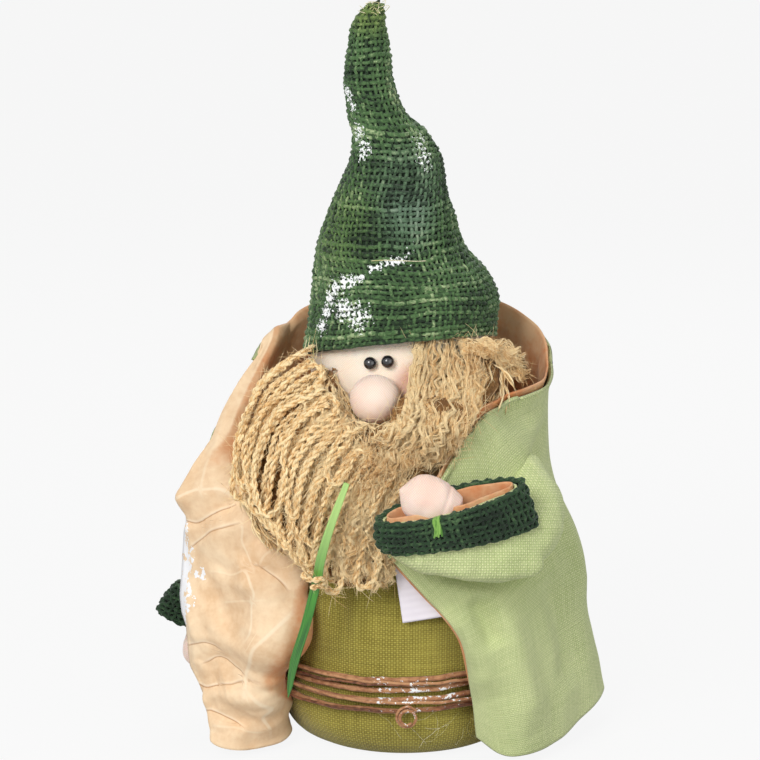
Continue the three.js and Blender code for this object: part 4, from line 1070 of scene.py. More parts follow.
# how far a layer lies inside the sleeve and runs past its mouth, then its wall
# the sleeves' paper has no lit mark, so all of it takes the paper's painted shade
sleeveLayers = {"Sleeve": (0.0, 0.0, 0.8, coatLinen, "pale_linen", "_sleeve"),
                "SleevePaper": (1.25, 1.1, 0.5, paperCloth, "paper_cloth", "_sleeve_lining")}
for side, arm in arms.items():
    armBody = side + "_arm"
    for kind, (inset, past, wall, material, slotName, standsFor) in sleeveLayers.items():
        mesh = sleeveSkin(side + kind, arm, inset, past)
        piece = putPiece(side + kind, mesh, material, body=None, stands=[side + standsFor])
        thicken(piece, wall)
        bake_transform(piece)
    yarns, shadeSheet, threads = cuffPieces(side, arm, side == "left")
    putPiece(side + "CuffYarns", yarns, cuffGreen, body=armBody)
    if threads:
        tied = strandMesh("leftCuffTie", threads, sides=6)
        putPiece("leftCuffTie", tied, tieGreen, body=armBody, stands=["left_cuff_tie"])
    cuffShadeSheet = putPiece(side + "CuffShadeSheet", shadeSheet, burlapShadeSheet, body=armBody,
                           stands=[side + "_cuff"])
    thicken(cuffShadeSheet, 0.6)
    handPiece = handMesh(side + "Hand", *arm["hand"])
    hand = putPiece(side + "Hand", handPiece, skin, body=armBody, stands=[side + "_hand"])
print("coat and arms made")


# Beard: a jute core, loops of two-ply twine on the right cheek and frayed locks in the middle

beard = {"twine": 1.25, "pitch": 6.4, "legs": 12, "twineFuzz": 2900, "combed": 2600, "strays": 1700,
         "light": tint(255, 232, 184), "middle": tint(234, 194, 134), "deep": tint(146, 96, 50),
         # the core is jute, but its colours are darker than the twine's: painted shade for the dark gaps
         # between the twines
         "coreLight": tint(202, 160, 106), "coreMiddle": tint(166, 124, 74), "coreDeep": tint(110, 76, 40),
         # the solid's sections: height, middle (x, y), half its width, half its depth
         "stations": [(62, -15, -46, 9, 3.5), (67, -18, -45, 15, 6), (76, -23, -42, 22, 9),
                      (87, -25, -39, 29, 12), (98, -23, -36, 34, 14), (109, -18, -32, 37, 17),
                      (120, -10, -29, 40, 17), (129, -2, -24, 37, 16), (136, 5, -18, 30, 13),
                      (141, 9, -13, 24, 9)],
         # lines of the twine's loops and guides of the locks, seen from the front: (x, z)
         "cheek": [(-34, 139), (-27, 130), (-22, 121), (-17, 113), (-9, 107), (0, 102)],
         "shoulder": [(-50, 128), (-44, 118), (-35, 108), (-26, 100), (-16, 94), (-6, 90)],
         "bends": [(-58, 100), (-53, 92), (-44, 86), (-35, 75), (-24, 66), (-11, 65)],
         "upperLocks": [[(3, 148), (2.2, 136), (-1.4, 121), (-5.4, 110), (-9.3, 98)],
                        [(7.5, 148), (7.4, 137), (4.6, 124), (0.6, 114.5), (-2.7, 105.2)],
                        [(13.6, 148), (15, 135), (11.3, 123), (6, 112.5), (0.6, 104.3)],
                        [(20, 147), (22, 134), (18.6, 122.4), (13.2, 113.3), (8.6, 105)],
                        [(24.6, 146), (26.2, 134), (23.6, 124.9), (18.6, 116.4), (12.6, 106.5)]],
         "cheekLocks": [[(-28.5, 137), (-31.5, 128.5), (-34.5, 119)], [(-24.6, 131), (-28, 122), (-31, 113)],
                        [(-20.6, 124.5), (-24, 115.5), (-26.5, 106)], [(-17, 120), (-19.5, 111), (-21.5, 102)],
                        [(-10, 119), (-13, 109), (-14.5, 99)]],
         "mouthLocks": [[(-15, 119), (-16, 111), (-17, 103)], [(-9.5, 119.5), (-10.5, 111), (-12, 102)],
                        [(-4, 121), (-4.5, 112), (-7, 103)], [(0.5, 124), (0, 114), (-3, 104)]],
         "noseLocks": [[(8, 131), (1, 121), (-8, 113)], [(5, 130), (-2, 121), (-11, 113)],
                       [(2, 128), (-5, 120), (-14, 114)]],
         "lowerLocks": [[(-21, 123), (-25.3, 112), (-27.9, 103.3), (-31.3, 89.8), (-32.7, 75)],
                        [(-17.5, 121.5), (-19.6, 110), (-20, 98.3), (-22.7, 84.8), (-27, 71)],
                        [(-12, 120.5), (-13.3, 110), (-16, 94.9), (-18.7, 81.3), (-20.7, 67)],
                        [(-5, 121), (-7.3, 112), (-11.3, 99.5), (-14.7, 84), (-17, 65)],
                        [(0, 119), (-3.4, 108), (-6.7, 94.4), (-8.7, 79), (-10.4, 64)],
                        [(6, 113), (1, 104.6), (-3.3, 92.7), (-4.7, 79), (-5, 64.7)]]}


# how far forward the beard's solid stands at a place in the front view
def plainFront(x, z):
    rows = np.array(beard["stations"], float)
    cx, cy, a, b = (np.interp(z, rows[:, 0], rows[:, k]) for k in range(1, 5))
    return cy - b * np.sqrt(1 - np.minimum(np.abs(x - cx) / a, 0.94) ** 2)


# the same with the moustache's swell, and never inside the face
def beardFront(x, z):
    x, z = np.asarray(x, float), np.asarray(z, float)
    lip = 4.5 * np.exp(-((x - 7) / 15) ** 2 - ((z - 119) / 10) ** 2)
    hx, hy, hz = head["centre"]
    face = hy - np.sqrt(np.maximum(head["radius"] ** 2 - (x - hx) ** 2 - (z - hz) ** 2, 0)) - 1.5
    return np.minimum(plainFront(x, z) - lip, face)


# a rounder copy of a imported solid, drawn in a little, for stuffing and hidden cores
def softCopy(name, nodeName, voxel, shrink, lumps, material):
    bm = bmesh.new()
    bm.from_mesh(nodes[nodeName].data)
    bmesh.ops.remove_doubles(bm, verts=bm.verts, dist=1e-6)
    rough = bpy.data.meshes.new(name)
    bm.to_mesh(rough)
    bm.free()
    bm = oneSkin(name, rough, voxel, 4)
    for vert in bm.verts:
        vert.co -= vert.normal * (shrink + lumps * (0.5 + 0.5 * noise.noise(vert.co * 220))) * 0.001
    made = putPiece(name, meshFrom(bm, name, turnOut=False), material, stands=[nodeName])
    return made


# two plies, each of a few yarns, wound about each path
def twinePlies(paths, radius, pitch, yarns=4):
    strands = []
    for path in paths:
        _, side, up = sidesOf(path)
        run = travelledAlong(path)
        loose = 1 + 0.16 * ripple(path, 6, 1)[:, None]
        for ply in range(2):
            turn = (wholeTurn * run / pitch + ply * math.pi)[:, None]
            centre = path + radius * 0.5 * loose * (side * np.cos(turn) + up * np.sin(turn))
            for yarn in range(yarns):
                own = (wholeTurn * (yarn / yarns) - wholeTurn * run / (pitch * 0.62))[:, None]
                points = centre + radius * 0.29 * loose * (side * np.cos(own) + up * np.sin(own))
                wander = np.stack([ripple(points, 2.4, yarn + 5 * k + ply) for k in range(3)], 1) * 0.14
                strands.append((points + wander, radius * 0.27 * (1 + 0.25 * ripple(points, 1.7, yarn))))
    return strands


# short loose fibres that stand off a path
def fuzzFrom(paths, count, reach, thickness, lift=1.0):
    strands = []
    lengths = [len(path) for path in paths]
    for _ in range(count):
        path = paths[chance.choices(range(len(paths)), lengths)[0]]
        k = chance.randrange(2, len(path) - 2)
        way = path[k + 1] - path[k - 1]
        way = way / (np.linalg.norm(way) + 1e-9) * chance.choice((-1, 1))
        stray = anyWay()
        stray /= np.linalg.norm(stray)
        stray[1] = -abs(stray[1]) * 0.9
        length = reach * chance.uniform(0.5, 1.4)
        curl = anyWay() * 0.35
        t = np.linspace(0, 1, 7)[:, None]
        start = path[k] + stray * lift * chance.uniform(0.2, 0.9)
        bend = length * (t * (way * chance.uniform(0.3, 1.0) + stray * 0.5) + t * t * curl)
        strands.append((start + bend, thickness * (1 - 0.5 * t[:, 0])))
    return strands


# the three lines that the loops cross, with places along each
def loopLines():
    return [evenly(np.array(beard[key], float), 200) for key in ("cheek", "shoulder", "bends")]


def acrossLines(lines, share):
    return [line[int(round(share * 199))] for line in lines]


# one length of twine laid up and down in legs, every other pair a little shorter and further forward
def packedRoute():
    points = []
    for leg in range(beard["legs"]):
        drop, layer = (0, 0) if leg % 4 < 2 else (3, 0.6)
        top, middle, low = acrossLines(loopLines(), leg / (beard["legs"] - 1))
        places = along(np.array([top, middle, low + (0, drop)]), [0, 0.3, 0.62, 1])
        spots = [(x, plainFront(x, z) - beard["twine"] - 0.3 - 1.2 - layer, z) for x, z in places]
        points += spots[::-1] if leg % 2 else spots
    return np.array(points)


# a further loop at a share along the lines
def looseLoop(share, drop, layer, shrink, spread=0.035):
    legs = []
    for side in (-1, 1):
        top, middle, low = acrossLines(loopLines(), np.clip(share + side * spread, 0, 1))
        low = middle + (low - middle) * shrink
        legs.append(along(np.array([top, middle, low + (0, drop)]), [0, 0.25, 0.5, 0.75, 0.95]))
    flat = np.concatenate([legs[0], legs[1][::-1]])
    y = [plainFront(x, z) - 1.3 - layer for x, z in flat]
    route = np.column_stack([flat[:, 0], y, flat[:, 1]])
    route[[0, -1], 1] += 3
    route = evenly(route, 130)
    return route + np.stack([ripple(route, 13, share * 9 + k) for k in range(3)], 1) * (1.0, 0.4, 0.9)


# a loop through places (x, z) in front of the others
def frontLoop(places, layer):
    flat = evenly(np.array(places, float), 110)
    flat += np.column_stack([ripple(np.column_stack([flat, flat[:, 0]]), 9, layer + k) for k in (1, 6)]) * 0.8
    depth = np.array([plainFront(x, z) for x, z in flat]) - layer
    depth[:8] += np.linspace(3, 0, 8)
    depth[-8:] += np.linspace(0, 2.4, 8)
    return np.column_stack([flat[:, 0], depth, flat[:, 1]])


jute = fibreMaterial("jute", beard["light"], beard["middle"], beard["deep"], grain=(1100, 1100, 420),
                     low=0.24, high=0.68)
# partly painted shade: the hidden core is darker than the jute so that the gaps between the twines look dark
juteCore = fibreMaterial("juteCore", beard["coreLight"], beard["coreMiddle"], beard["coreDeep"],
                         grain=(900, 900, 500))
beardCore = softCopy("beardCore", "beard", 1.3, 1.6, 0.8, juteCore)
softCopy("moustacheCore", "moustache", 1.0, 1.6, 0.6, juteCore)
softCopy("sideLockCore", "side_lock", 0.8, 1.0, 0.2, juteCore)

mainTwine = along(packedRoute(), np.linspace(0, 1, 1150))
twineMesh = strandMesh("beardTwine", twinePlies([mainTwine], beard["twine"], beard["pitch"]))
beardTwine = putPiece("beardTwine", twineMesh, jute, stands=["beard_twine"])

# share along the lines, drop, layer, shrink
looseLoops = [(0.03, -1, -1.2, 0.9), (0.11, 2, -1.4, 1.0), (0.2, 0, -1.2, 0.95), (0.3, 1, -1.4, 1.0),
              (0.39, -1, -1.2, 1.0), (0.48, 2, -1.4, 0.95), (0.57, 0, -1.3, 1.0), (0.66, 1, -1.4, 1.0),
              (0.75, -1, -1.2, 1.0), (0.84, 0, -1.4, 0.95), (0.43, 5, 2.5, 0.85), (0.6, 4, 2.6, 0.9)]
# places (x, z), layer
frontLoops = [
    ([(-31, 140.5), (-44, 133.4), (-51.2, 124.8), (-56.6, 113.9), (-57.4, 107), (-56.5, 101), (-52, 95)], 3.0),
    ([(-27, 134.5), (-37.5, 129.6), (-46.1, 122.8), (-50.4, 117.4), (-54, 110.6), (-53.6, 104), (-51, 96),
      (-46, 89.4), (-40, 82)], 3.2),
    ([(-27, 130), (-40.4, 123.8), (-45.6, 118.8), (-49, 111.5), (-50.6, 104.2), (-50.1, 96.8), (-48.6, 92.4),
      (-46, 90.2), (-43.2, 92), (-41, 96.8), (-40, 104.2), (-41.2, 109.1), (-39, 114.9), (-36.4, 119.8),
      (-31.5, 123.6), (-25, 126)], 5.2),
    ([(-15, 119), (-21.9, 116.3), (-26.6, 107.1), (-25, 101.5), (-21.3, 102.5), (-17, 111)], 4.6),
    ([(-56, 94), (-48, 88.4), (-40.4, 80.5), (-35.5, 74), (-32, 70.5)], 3.2),
    ([(-39.5, 96), (-36.7, 84), (-33.6, 75.5), (-31.4, 70.6)], 3.6)]
loops = [looseLoop(*values) for values in looseLoops] + [frontLoop(*values) for values in frontLoops]
loopMesh = strandMesh("twineLoops", twinePlies(loops, beard["twine"] * 0.98, beard["pitch"], 3))
putPiece("twineLoops", loopMesh, jute)
looseFibres = fuzzFrom([mainTwine] + loops, beard["twineFuzz"], 5.0, 0.08)
putPiece("twineFuzz", strandMesh("twineFuzz", looseFibres), jute)


# frayed locks: thin wavy clumps between guides that wander across one another
def frayedLocks(guides, count, fibres, start, end, lift, width, kink, steps, spread, root=0.0):
    stack = np.array(guides, float)
    strands = []
    t = np.linspace(0, 1, steps)
    for number in range(count):
        share = spread[0] + (spread[1] - spread[0]) * ((number + chance.uniform(-1, 1)) / count)
        flat = along(stack, [min(max(share, 0), 1)])[0]
        places = along(flat, np.linspace(chance.uniform(*start), chance.uniform(*end), steps))
        places[:, 0] += chance.gauss(0, 0.6) + t * chance.gauss(0, 1.6)
        rooted = root * np.maximum(0, 1 - t / 0.3) ** 2
        y = beardFront(places[:, 0], places[:, 1]) - chance.uniform(*lift) * np.sin(0.25 + 2.2 * t) + rooted
        path = np.column_stack([places[:, 0], y, places[:, 1]])
        _, side, up = sidesOf(path)
        run = travelledAlong(path)
        bend = (wholeTurn * run / chance.uniform(4.5, 9.5) + anyAngle())[:, None]
        size = kink * chance.uniform(0.4, 1.3) * np.linspace(0.6, 1.3, steps)[:, None]
        path = path + size * (side * np.cos(bend) + 0.7 * up * np.sin(bend * 0.83 + 1))
        path = path + np.stack([ripple(path, 4.0, number + 7 * k) for k in range(3)], 1) * 1.3
        _, side, up = sidesOf(path)
        fan = np.interp(t, [0, 0.2, 0.7, 1], [0.8, 0.9, 1.0, 2.2])[:, None]
        tone = chance.random()
        for _ in range(fibres):
            reach = width * math.sqrt(chance.random())
            turn = (anyAngle() + run * 0.2)[:, None]
            drift = reach * (side * np.cos(turn) + up * np.sin(turn)) * fan
            own = ripple(path + drift * 2, 2.6, chance.uniform(0, 90))[:, None]
            jitter = own * (side * chance.uniform(-1, 1) + up * chance.uniform(-1, 1)) * 0.7
            thickness = chance.uniform(0.07, 0.12)
            strands.append((path + drift + jitter, thickness, 0.7 * tone + 0.3 * chance.random()))
    return strands


# clumps, fibres in each, shares where they start and end, lift, width, kink, steps, the guides' spread
# and how far the roots sink in
lockSets = {
    "locksCheek": ("cheekLocks", 60, 16, (0.0, 0.3), (0.6, 1.0), (-0.5, 2.0), 0.5, 0.9, 14, (0, 1), 3),
    "locksMouth": ("mouthLocks", 44, 16, (0.0, 0.3), (0.6, 1.0), (-0.5, 2.0), 0.5, 0.9, 14, (0, 1), 6),
    "locksNose": ("noseLocks", 22, 14, (0.0, 0.15), (0.6, 1.0), (4.5, 8.5), 0.5, 1.0, 16, (0, 1), 9),
    "locksUpperA": ("upperLocks", 74, 14, (0.0, 0.25), (0.5, 1.0), (-0.5, 3.0), 0.6, 1.2, 16, (0, 1)),
    "locksUpperB": ("upperLocks", 72, 14, (0.1, 0.55), (0.7, 1.05), (1.0, 5.0), 0.6, 1.5, 16, (0.02, 0.97)),
    "locksLowerA": ("lowerLocks", 74, 14, (0.0, 0.3), (0.6, 1.02), (-0.5, 2.2), 0.6, 1.2, 16, (0.05, 1), 8),
    "locksLowerB": ("lowerLocks", 72, 14, (0.2, 0.6), (0.8, 1.04), (0.5, 4.0), 0.6, 1.5, 16, (0.1, 1))}
for name, (guideName, *values) in lockSets.items():
    putPiece(name, strandMesh(name, frayedLocks(beard[guideName], *values)), jute)

# the lock on the left temple
sideLock = {"clumps": 15, "fibres": 24, "steps": 24,
            "guides": [[(17, -25, 143), (27, -26, 143.5), (35, -23, 141), (40, -20, 136)],
                       [(18, -26, 142), (28, -27, 141.5), (36, -22, 137.5), (41, -18, 129)],
                       [(18, -26.5, 140.5), (27, -26.5, 139.5), (34, -22, 134.5), (38, -18, 127)]]}
guides = np.array(sideLock["guides"], float)
run = np.linspace(0, 1, sideLock["steps"])
sideStrands = []
for number in range(sideLock["clumps"]):
    guide = along(guides, [number / (sideLock["clumps"] - 1)])[0]
    path = evenly(along(guide, np.linspace(0, chance.uniform(0.8, 1.04), 30)), sideLock["steps"])
    _, side, up = sidesOf(path)
    bend = (run * chance.uniform(16, 24) + anyAngle())[:, None]
    path = path + (0.5 + 1.3 * run[:, None]) * (side * np.cos(bend) + 0.7 * up * np.sin(bend * 0.9))
    tone = chance.random()
    for _ in range(sideLock["fibres"]):
        reach, turn = 0.9 * math.sqrt(chance.random()), anyAngle()
        drift = reach * (side * math.cos(turn) + up * math.sin(turn)) * (0.7 + run[:, None])
        own = ripple(path + drift, 3, chance.uniform(0, 50))[:, None]
        own = own * (side * chance.uniform(-1, 1) + up * chance.uniform(-1, 1))
        sideStrands.append((path + drift + own * 0.6, 0.1, 0.65 * tone + 0.35 * chance.random()))
sideStrands += fuzzFrom([evenly(guides[1], 30)], 160, 6.0, 0.07, 2.4)
putPiece("sideLockFibres", strandMesh("sideLockFibres", sideStrands), jute)


# combed strands that cover the core's sides and back
def combedStrands(core, count, lengths, width):
    faces = [face for face in core.data.polygons if face.normal.y > -0.45 and face.center.z > 0.082]
    strands = []
    for _ in range(count):
        face = faces[chance.randrange(len(faces))]
        start, normal = np.array(face.center) * 1000, np.array(face.normal)
        way = np.array([chance.gauss(0, 0.22), chance.gauss(0, 0.22) - 0.25, -1.0])
        way -= normal * (way @ normal)
        way /= np.linalg.norm(way) + 1e-6
        length, tilt, aside = chance.uniform(*lengths), anyAngle(), np.cross(normal, way)
        path = []
        for share in np.linspace(0, 1, 6):
            run = share * length
            lift = 0.5 + 0.9 * math.sin(share * 2.6) - run * run / 70
            path.append(start + way * run + normal * lift + aside * math.sin(share * 5 + tilt) * 0.9)
        strands.append((np.array(path), chance.uniform(*width), chance.random()))
    return strands


# paths in front of the locks, for the fibres that stand off them
strayPaths = []
for guide in beard["upperLocks"] + beard["lowerLocks"]:
    x, z = np.array(guide, float).T
    strayPaths.append(along(np.column_stack([x, beardFront(x, z) - 2.5, z]), np.linspace(0, 1, 40)))
backStrands = combedStrands(beardCore, beard["combed"], (8, 15), (0.16, 0.34))
putPiece("beardBack", strandMesh("beardBack", backStrands), jute)
strayFibres = fuzzFrom(strayPaths, beard["strays"], 7.0, 0.075, 3.2)
putPiece("beardFuzz", strandMesh("beardFuzz", strayFibres), jute)
print("beard made")


# Knot, blade, vines, tag and stuffing

trim = {"knot": (-30.8, -57.8, 70), "knotSize": (3.4, 3.0, 1.7),
        "blade": [(-19.6, -59, 103), (-24.6, -59.5, 89.5), (-28, -59, 78), (-29.8, -57.5, 68.5),
                  (-33.6, -52.5, 52), (-37.8, -44.5, 36), (-40.2, -37, 21)],
        "bladeWidth": 3.2, "bladeThickness": 0.9,
        "vine": 0.95, "tendril": 0.55, "ring": 46.25, "turns": 3.8, "pitch": 3.6, "beltFoot": 19.2,
        "grassTop": tint(176, 214, 126), "grass": tint(78, 158, 52), "grassDeep": tint(34, 104, 28),
        "vineLight": tint(196, 146, 104), "vineMiddle": tint(150, 98, 66), "vineDeep": tint(84, 48, 30),
        "snow": [(-7, -47, 25.5, 10), (4, -47, 25.5, 12), (15, -45, 25.5, 10), (-9, -46, 29, 7),
                 (2, -48, 19, 7)]}


def bladeSurface(turns, rises):
    path = evenly(np.array(trim["blade"], float), len(rises))
    way, _, _ = sidesOf(path)
    across = np.cross(way, (0, -1, 0))
    across /= np.linalg.norm(across, axis=1, keepdims=True)
    face = np.cross(across, way)
    fullness = np.interp(rises, [0, 0.1, 0.3, 0.8, 0.94, 1], [0.62, 0.8, 1, 1, 0.6, 0.08])
    widths = trim["bladeWidth"] / 2 * fullness
    places = np.zeros((len(turns), len(rises), 3))
    for k, turn in enumerate(turns):
        angle = turn * wholeTurn
        flat, thick = math.cos(angle), math.sin(angle)
        keel = -0.35 * (1 - abs(flat))
        twist = 0.12 * np.sin(rises * 9)[:, None]
        sideways = across * np.cos(twist) + face * np.sin(twist)
        swell = trim["bladeThickness"] / 2 * (abs(thick) ** 0.6) * (1 if thick > 0 else -1)
        narrow = np.minimum(1, widths / 0.8)
        places[k] = path + sideways * (flat * widths)[:, None] + face * ((swell + keel) * narrow)[:, None]
    return places


grass = newMaterial("grass", 0.32, {"Specular IOR Level": 0.5, "Coat Weight": 0.25, "Coat Roughness": 0.25})
alongBlade = flatPlace(grass, 1.0)
veins = noiseOf(grass, scaledPlace(grass, alongBlade, (5200, 40, 1)), 1.0)
downBlade = partsOf(grass, alongBlade)[1]
green = blendColours(grass, stretched(grass, veins, 0.3, 0.7), trim["grassDeep"], trim["grass"])
setColour(grass, blendColours(grass, stretched(grass, downBlade, 0.008, 0.045), trim["grassTop"], green))
setRelief(grass, veins, 0.00012)
blade = gridMesh("grassBlade", 16, 90, bladeSurface, (0.007, 0.092), close=True)
putPiece("grassBlade", blade, grass, stands=["grass_blade"])

bladeWay = along(trim["blade"], [0.5])[0] - along(trim["blade"], [0.47])[0]
bladeWay /= np.linalg.norm(bladeWay)
knotAcross = np.cross(bladeWay, (0, 1, 0))
knotAcross /= np.linalg.norm(knotAcross)
knotDepth = np.cross(bladeWay, knotAcross)
knotAngle = np.linspace(0.5, 0.5 + 2.4 * math.pi, 90)[:, None]
knotWide, knotDeep, knotLong = trim["knotSize"]
knotPath = np.array(trim["knot"]) + knotAcross * knotWide * np.cos(knotAngle)
knotPath = knotPath + knotDepth * knotDeep * np.sin(knotAngle)
knotPath = knotPath + bladeWay * np.linspace(-knotLong, knotLong, 90)[:, None]
knotMesh = strandMesh("beardKnot", twinePlies([knotPath], 1.1, 5.0) + fuzzFrom([knotPath], 60, 4.0, 0.07))
putPiece("beardKnot", knotMesh, jute, stands=["beard_knot"])


# a knobbly vine along a path
def vineStrands(path, radius, seed):
    knots = 1 + 0.22 * ripple(path, 3.2, seed) + 0.5 * np.maximum(0, ripple(path, 2.4, seed + 7) - 0.42)
    return [(path, radius * knots)]


# a path that winds round the sack from one height to another, outside the belt's ring by out
def beltPath(start, turns, low, high, out, sway, count):
    angle = np.linspace(start, start + turns * wholeTurn, count)
    height = np.linspace(low, high, count) + sway * np.sin(angle + 0.6)
    radius = trim["ring"] + out
    path = np.column_stack([radius * np.cos(angle), radius * np.sin(angle), height])
    wobble = np.column_stack([ripple(path, 9, 1), ripple(path, 9, 4), ripple(path, 7, 8)])
    return path + wobble * (0.35, 0.35, 0.55)


vineBrown = fibreMaterial("vineBrown", trim["vineLight"], trim["vineMiddle"], trim["vineDeep"],
                          grain=(500, 500, 900), roughness=0.6, low=0.28, high=0.78, snow=trim["snow"],
                          openSnow=1.5)


def putVine(name, path, radius, seed, stands):
    vineMesh = strandMesh(name, vineStrands(path, radius, seed), sides=8)
    vine = putPiece(name, vineMesh, vineBrown, stands=stands)


beltTop = trim["beltFoot"] + trim["turns"] * trim["pitch"]
beltRoute = beltPath(math.radians(70), trim["turns"], trim["beltFoot"], beltTop, 0.15, 1.6, 900)
putVine("vineBelt", beltRoute, trim["vine"], 900, ["vine_belt"])
putVine("thinVineUpper", beltPath(2.6, 1.55, 33.5, 22.5, 2.3, 1.1, 420), 0.55, 420, [])
putVine("thinVineLower", beltPath(3.3, 1.35, 17.5, 30.0, 2.1, -1.0, 380), 0.5, 380, [])
curlStep = np.arange(13)        # the tendril's curl closes in and goes up a little with each step
curlAngle = math.radians(30) + 0.95 * curlStep
curlSize = 3.9 - 0.15 * curlStep
curl = np.column_stack([0.5 + curlSize * np.cos(curlAngle), -48.6 - 0.16 * curlStep,
                        18.2 + curlSize * np.sin(curlAngle)])
putVine("vineTendril", evenly(curl, 110), trim["tendril"], 3, ["vine_tendril"])


# blank cloth tag that hangs from the coat's lining
tag = {"width": 16, "height": 20, "middle": (5.5, -46.2, 62), "lean": math.radians(-8), "wall": 0.35}


def tagSurface(turns, rises):
    x, z = np.meshgrid((turns - 0.5) * tag["width"], (rises - 0.5) * tag["height"], indexing="ij")
    cosine, sine = math.cos(tag["lean"]), math.sin(tag["lean"])
    middleX, middleY, middleZ = tag["middle"]
    y = 0.5 * np.sin(x / 6) - 0.02 * (z + 4) ** 2 * 0.12
    return np.stack([middleX + x * cosine + z * sine, middleY + y, middleZ - x * sine + z * cosine], 2)


satin = newMaterial("satinTag", 0.45, {"Sheen Weight": 0.3, "Specular IOR Level": 0.4})
satinRib = sums(satin, "SINE", partsOf(satin, flatPlace(satin, 2600.0))[1])
satinTone = noiseOf(satin, objectPlace(satin), 160.0, 3.0)
setColour(satin, blendColours(satin, satinTone, tint(232, 224, 234), tint(248, 242, 248)))
setRelief(satin, satinRib, 0.00004)
tagMesh = gridMesh("blankTag", 24, 30, tagSurface, (0.016, 0.02))
tagPiece = putPiece("blankTag", tagMesh, satin, stands=["blank_tag"])
thicken(tagPiece, tag["wall"])

# stuffing, sand, card and wire
wadding = mottledMaterial("wadding", 0.95, 260.0, tint(226, 222, 212), tint(250, 248, 242), 0.0006, 5.0, 0.7,
                          fixed={"Sheen Weight": 0.4})
sandCloth = mottledMaterial("sandCloth", 0.95, 900.0, tint(168, 146, 104), tint(222, 204, 160), 0.0003)
card = mottledMaterial("cardBoard", 0.9, 500.0, tint(140, 112, 76), tint(188, 158, 116), 0.0001, 4.0, 0.6)
steel = mottledMaterial("softWire", 0.38, 1.0, tint(134, 136, 140), tint(186, 188, 190),
                        stretch=(1400, 1400, 200), fixed={"Metallic": 0.95})
softCopy("bodyWadding", "body_filling", 1.8, 1.2, 0.5, wadding)
softCopy("headWadding", "head_filling", 1.6, 0.8, 0.4, wadding)
softCopy("hatWadding", "hat_filling", 1.4, 2.6, 0.6, wadding)
softCopy("sandBag", "sand_bag", 1.4, 0.5, 0.3, sandCloth)
nodeFinish = {"base_disc": card, "left_arm_wire": steel, "right_arm_wire": steel, "yoke_wire": steel}
for nodeName, material in nodeFinish.items():
    for held in nodes[nodeName].material_slots:
        held.material = material


# loose threads on the hat: a loop at the brim, a frayed tip and a thread across the front
loose = {"tipThreads": 46, "sackFibres": 11, "light": tint(246, 238, 206), "middle": tint(206, 200, 140),
         "deep": tint(150, 150, 84)}
threadPale = fibreMaterial("threadPale", loose["light"], loose["middle"], loose["deep"], low=0.2)
brimLoop = np.array([(-33.5, -19, 143), (-34.4, -20.5, 137), (-32.6, -21.5, 134), (-31.2, -22, 137.5),
                     (-31.6, -21, 142)])
hatThreads = [(evenly(brimLoop, 30), 0.16), (evenly(brimLoop + (1.2, -0.5, 1.5), 30), 0.13)]
acrossFront = onHat(np.linspace(-0.26, 0.46, 50), 0.296 + 0.004 * np.sin(np.linspace(0, 5, 50)), 0.5)
hatThreads.append((acrossFront, 0.14))
tipPlace = onHat(0.6, 1.0, 0)[0]
for _ in range(loose["tipThreads"]):
    start = tipPlace + np.array([chance.uniform(-5, 2.5), chance.uniform(-2, 4), chance.uniform(-1.5, 2.5)])
    stray = np.array([chance.gauss(0.2, 1), chance.gauss(-0.2, 0.8), chance.gauss(0.5, 0.7)])
    curlWay = anyWay()
    t = np.linspace(0, 1, 8)[:, None]
    hatThreads.append((start + t * stray * 1.5 + t * t * curlWay * 0.8, 0.1))
putPiece("hatThreads", strandMesh("hatThreads", hatThreads), threadPale)

# pale curly fibres that cling to the sack's foot
sackFibres = []
for number in range(loose["sackFibres"]):
    across, z, heading = chance.uniform(-2, 24), chance.uniform(7, 17), anyAngle()
    bend, steps, path = chance.gauss(0, 0.05), chance.randint(18, 40), []
    for step in range(steps):
        heading += bend + chance.gauss(0, 0.12)
        across, z = across + 0.55 * math.cos(heading), min(max(z + 0.55 * math.sin(heading), 5), 20)
        radius = float(bodyRadius(z)) + 0.7 + 0.35 * math.sin(step * 0.7 + number)
        angle = across / radius - math.pi / 2
        path.append((radius * math.cos(angle), radius * math.sin(angle), z))
    sackFibres.append((np.array(path), chance.uniform(0.03, 0.05)))
putPiece("sackFibres", strandMesh("sackFibres", sackFibres), threadPale)
print("trims made")


# floor, lamps and camera

studio = {"camera": (-8.675, -974.4, 349.2), "aim": (-8.675, 0, 124.27), "lens": 136.5,
          "floorGrey": 0.5, "floorWhite": 0.9, "skyLight": 0.4, "lampAim": (0, 0, 110),
          # place, size in metres, power in watts
          "lamps": {"key": ((-420, -760, 640), 0.45, 6.9), "fill": ((560, -640, 330), 0.7, 1.9),
                    "back": ((120, 620, 620), 0.6, 2.0)}}


def aimAt(thing, place, target):
    thing.location = metres(*place)
    thing.rotation_mode = "QUATERNION"
    thing.rotation_quaternion = (metres(*target) - thing.location).to_track_quat("-Z", "Y")
    scene.collection.objects.link(thing)


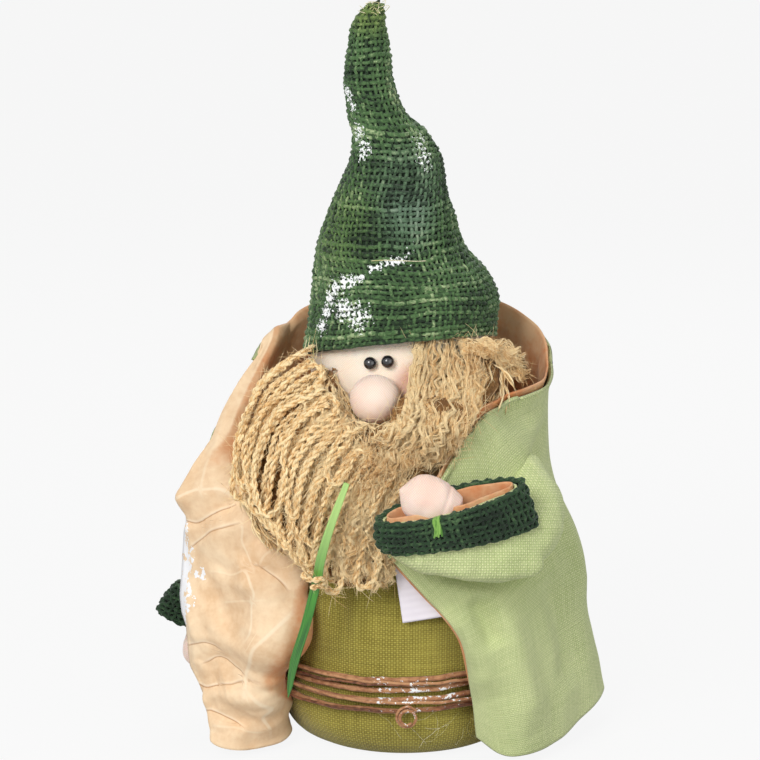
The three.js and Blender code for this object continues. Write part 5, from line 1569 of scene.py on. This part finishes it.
# the floor and the sky look white, and light the figure with less
def makeFloor():
    bm = bmesh.new()
    bmesh.ops.create_grid(bm, x_segments=1, y_segments=1, size=6)
    floorMesh = meshFrom(bm, "floor", turnOut=False)
    floor = bpy.data.objects.new("floor", floorMesh)
    floor.location.z = -0.0002
    scene.collection.objects.link(floor)
    grey = (studio["floorGrey"],) * 3 + (1,)
    paint = newMaterial("floorWhite", 0.9, {"Base Color": grey, "Specular IOR Level": 0.1})
    tree = paint.node_tree
    rays = addNode(paint, "LightPath").outputs
    seen = larger(paint, rays["Is Camera Ray"], rays["Is Glossy Ray"])
    seen = larger(paint, seen, rays["Is Transmission Ray"])
    glow = addNode(paint, "Emission", None, {"Color": (1, 1, 1, 1), "Strength": 1.0}).outputs[0]
    paintShade = tree.nodes["Principled BSDF"].outputs[0]
    share = times(paint, seen, studio["floorWhite"])
    both = addNode(paint, "MixShader", None, {0: share, 1: paintShade, 2: glow})
    tree.links.new(both.outputs[0], tree.nodes["Material Output"].inputs["Surface"])
    floorMesh.materials.append(paint)


def makeSky():
    world = bpy.data.worlds.new("studio")
    scene.world = world
    world.use_nodes = True
    sky = world.node_tree.nodes["Background"]
    sky.inputs["Color"].default_value = (1, 1, 1, 1)
    rays = addNode(world, "LightPath").outputs
    seen = larger(world, rays["Is Camera Ray"], rays["Is Glossy Ray"])
    level = addNode(world, "MapRange", None, {"Value": seen, "To Min": studio["skyLight"], "To Max": 1.0})
    world.node_tree.links.new(level.outputs[0], sky.inputs["Strength"])


def makeLampsAndCamera():
    for name, (place, size, power) in studio["lamps"].items():
        light = bpy.data.lights.new(name, "AREA")
        light.size = size
        light.energy = power
        aimAt(bpy.data.objects.new(name, light), place, studio["lampAim"])
    camera = bpy.data.objects.new("camera", bpy.data.cameras.new("camera"))
    camera.data.lens = studio["lens"]
    camera.data.sensor_width = 36
    aimAt(camera, studio["camera"], studio["aim"])
    scene.camera = camera
    scene.view_settings.view_transform = "Standard"


makeFloor()
makeSky()
makeLampsAndCamera()
print("scene ready")
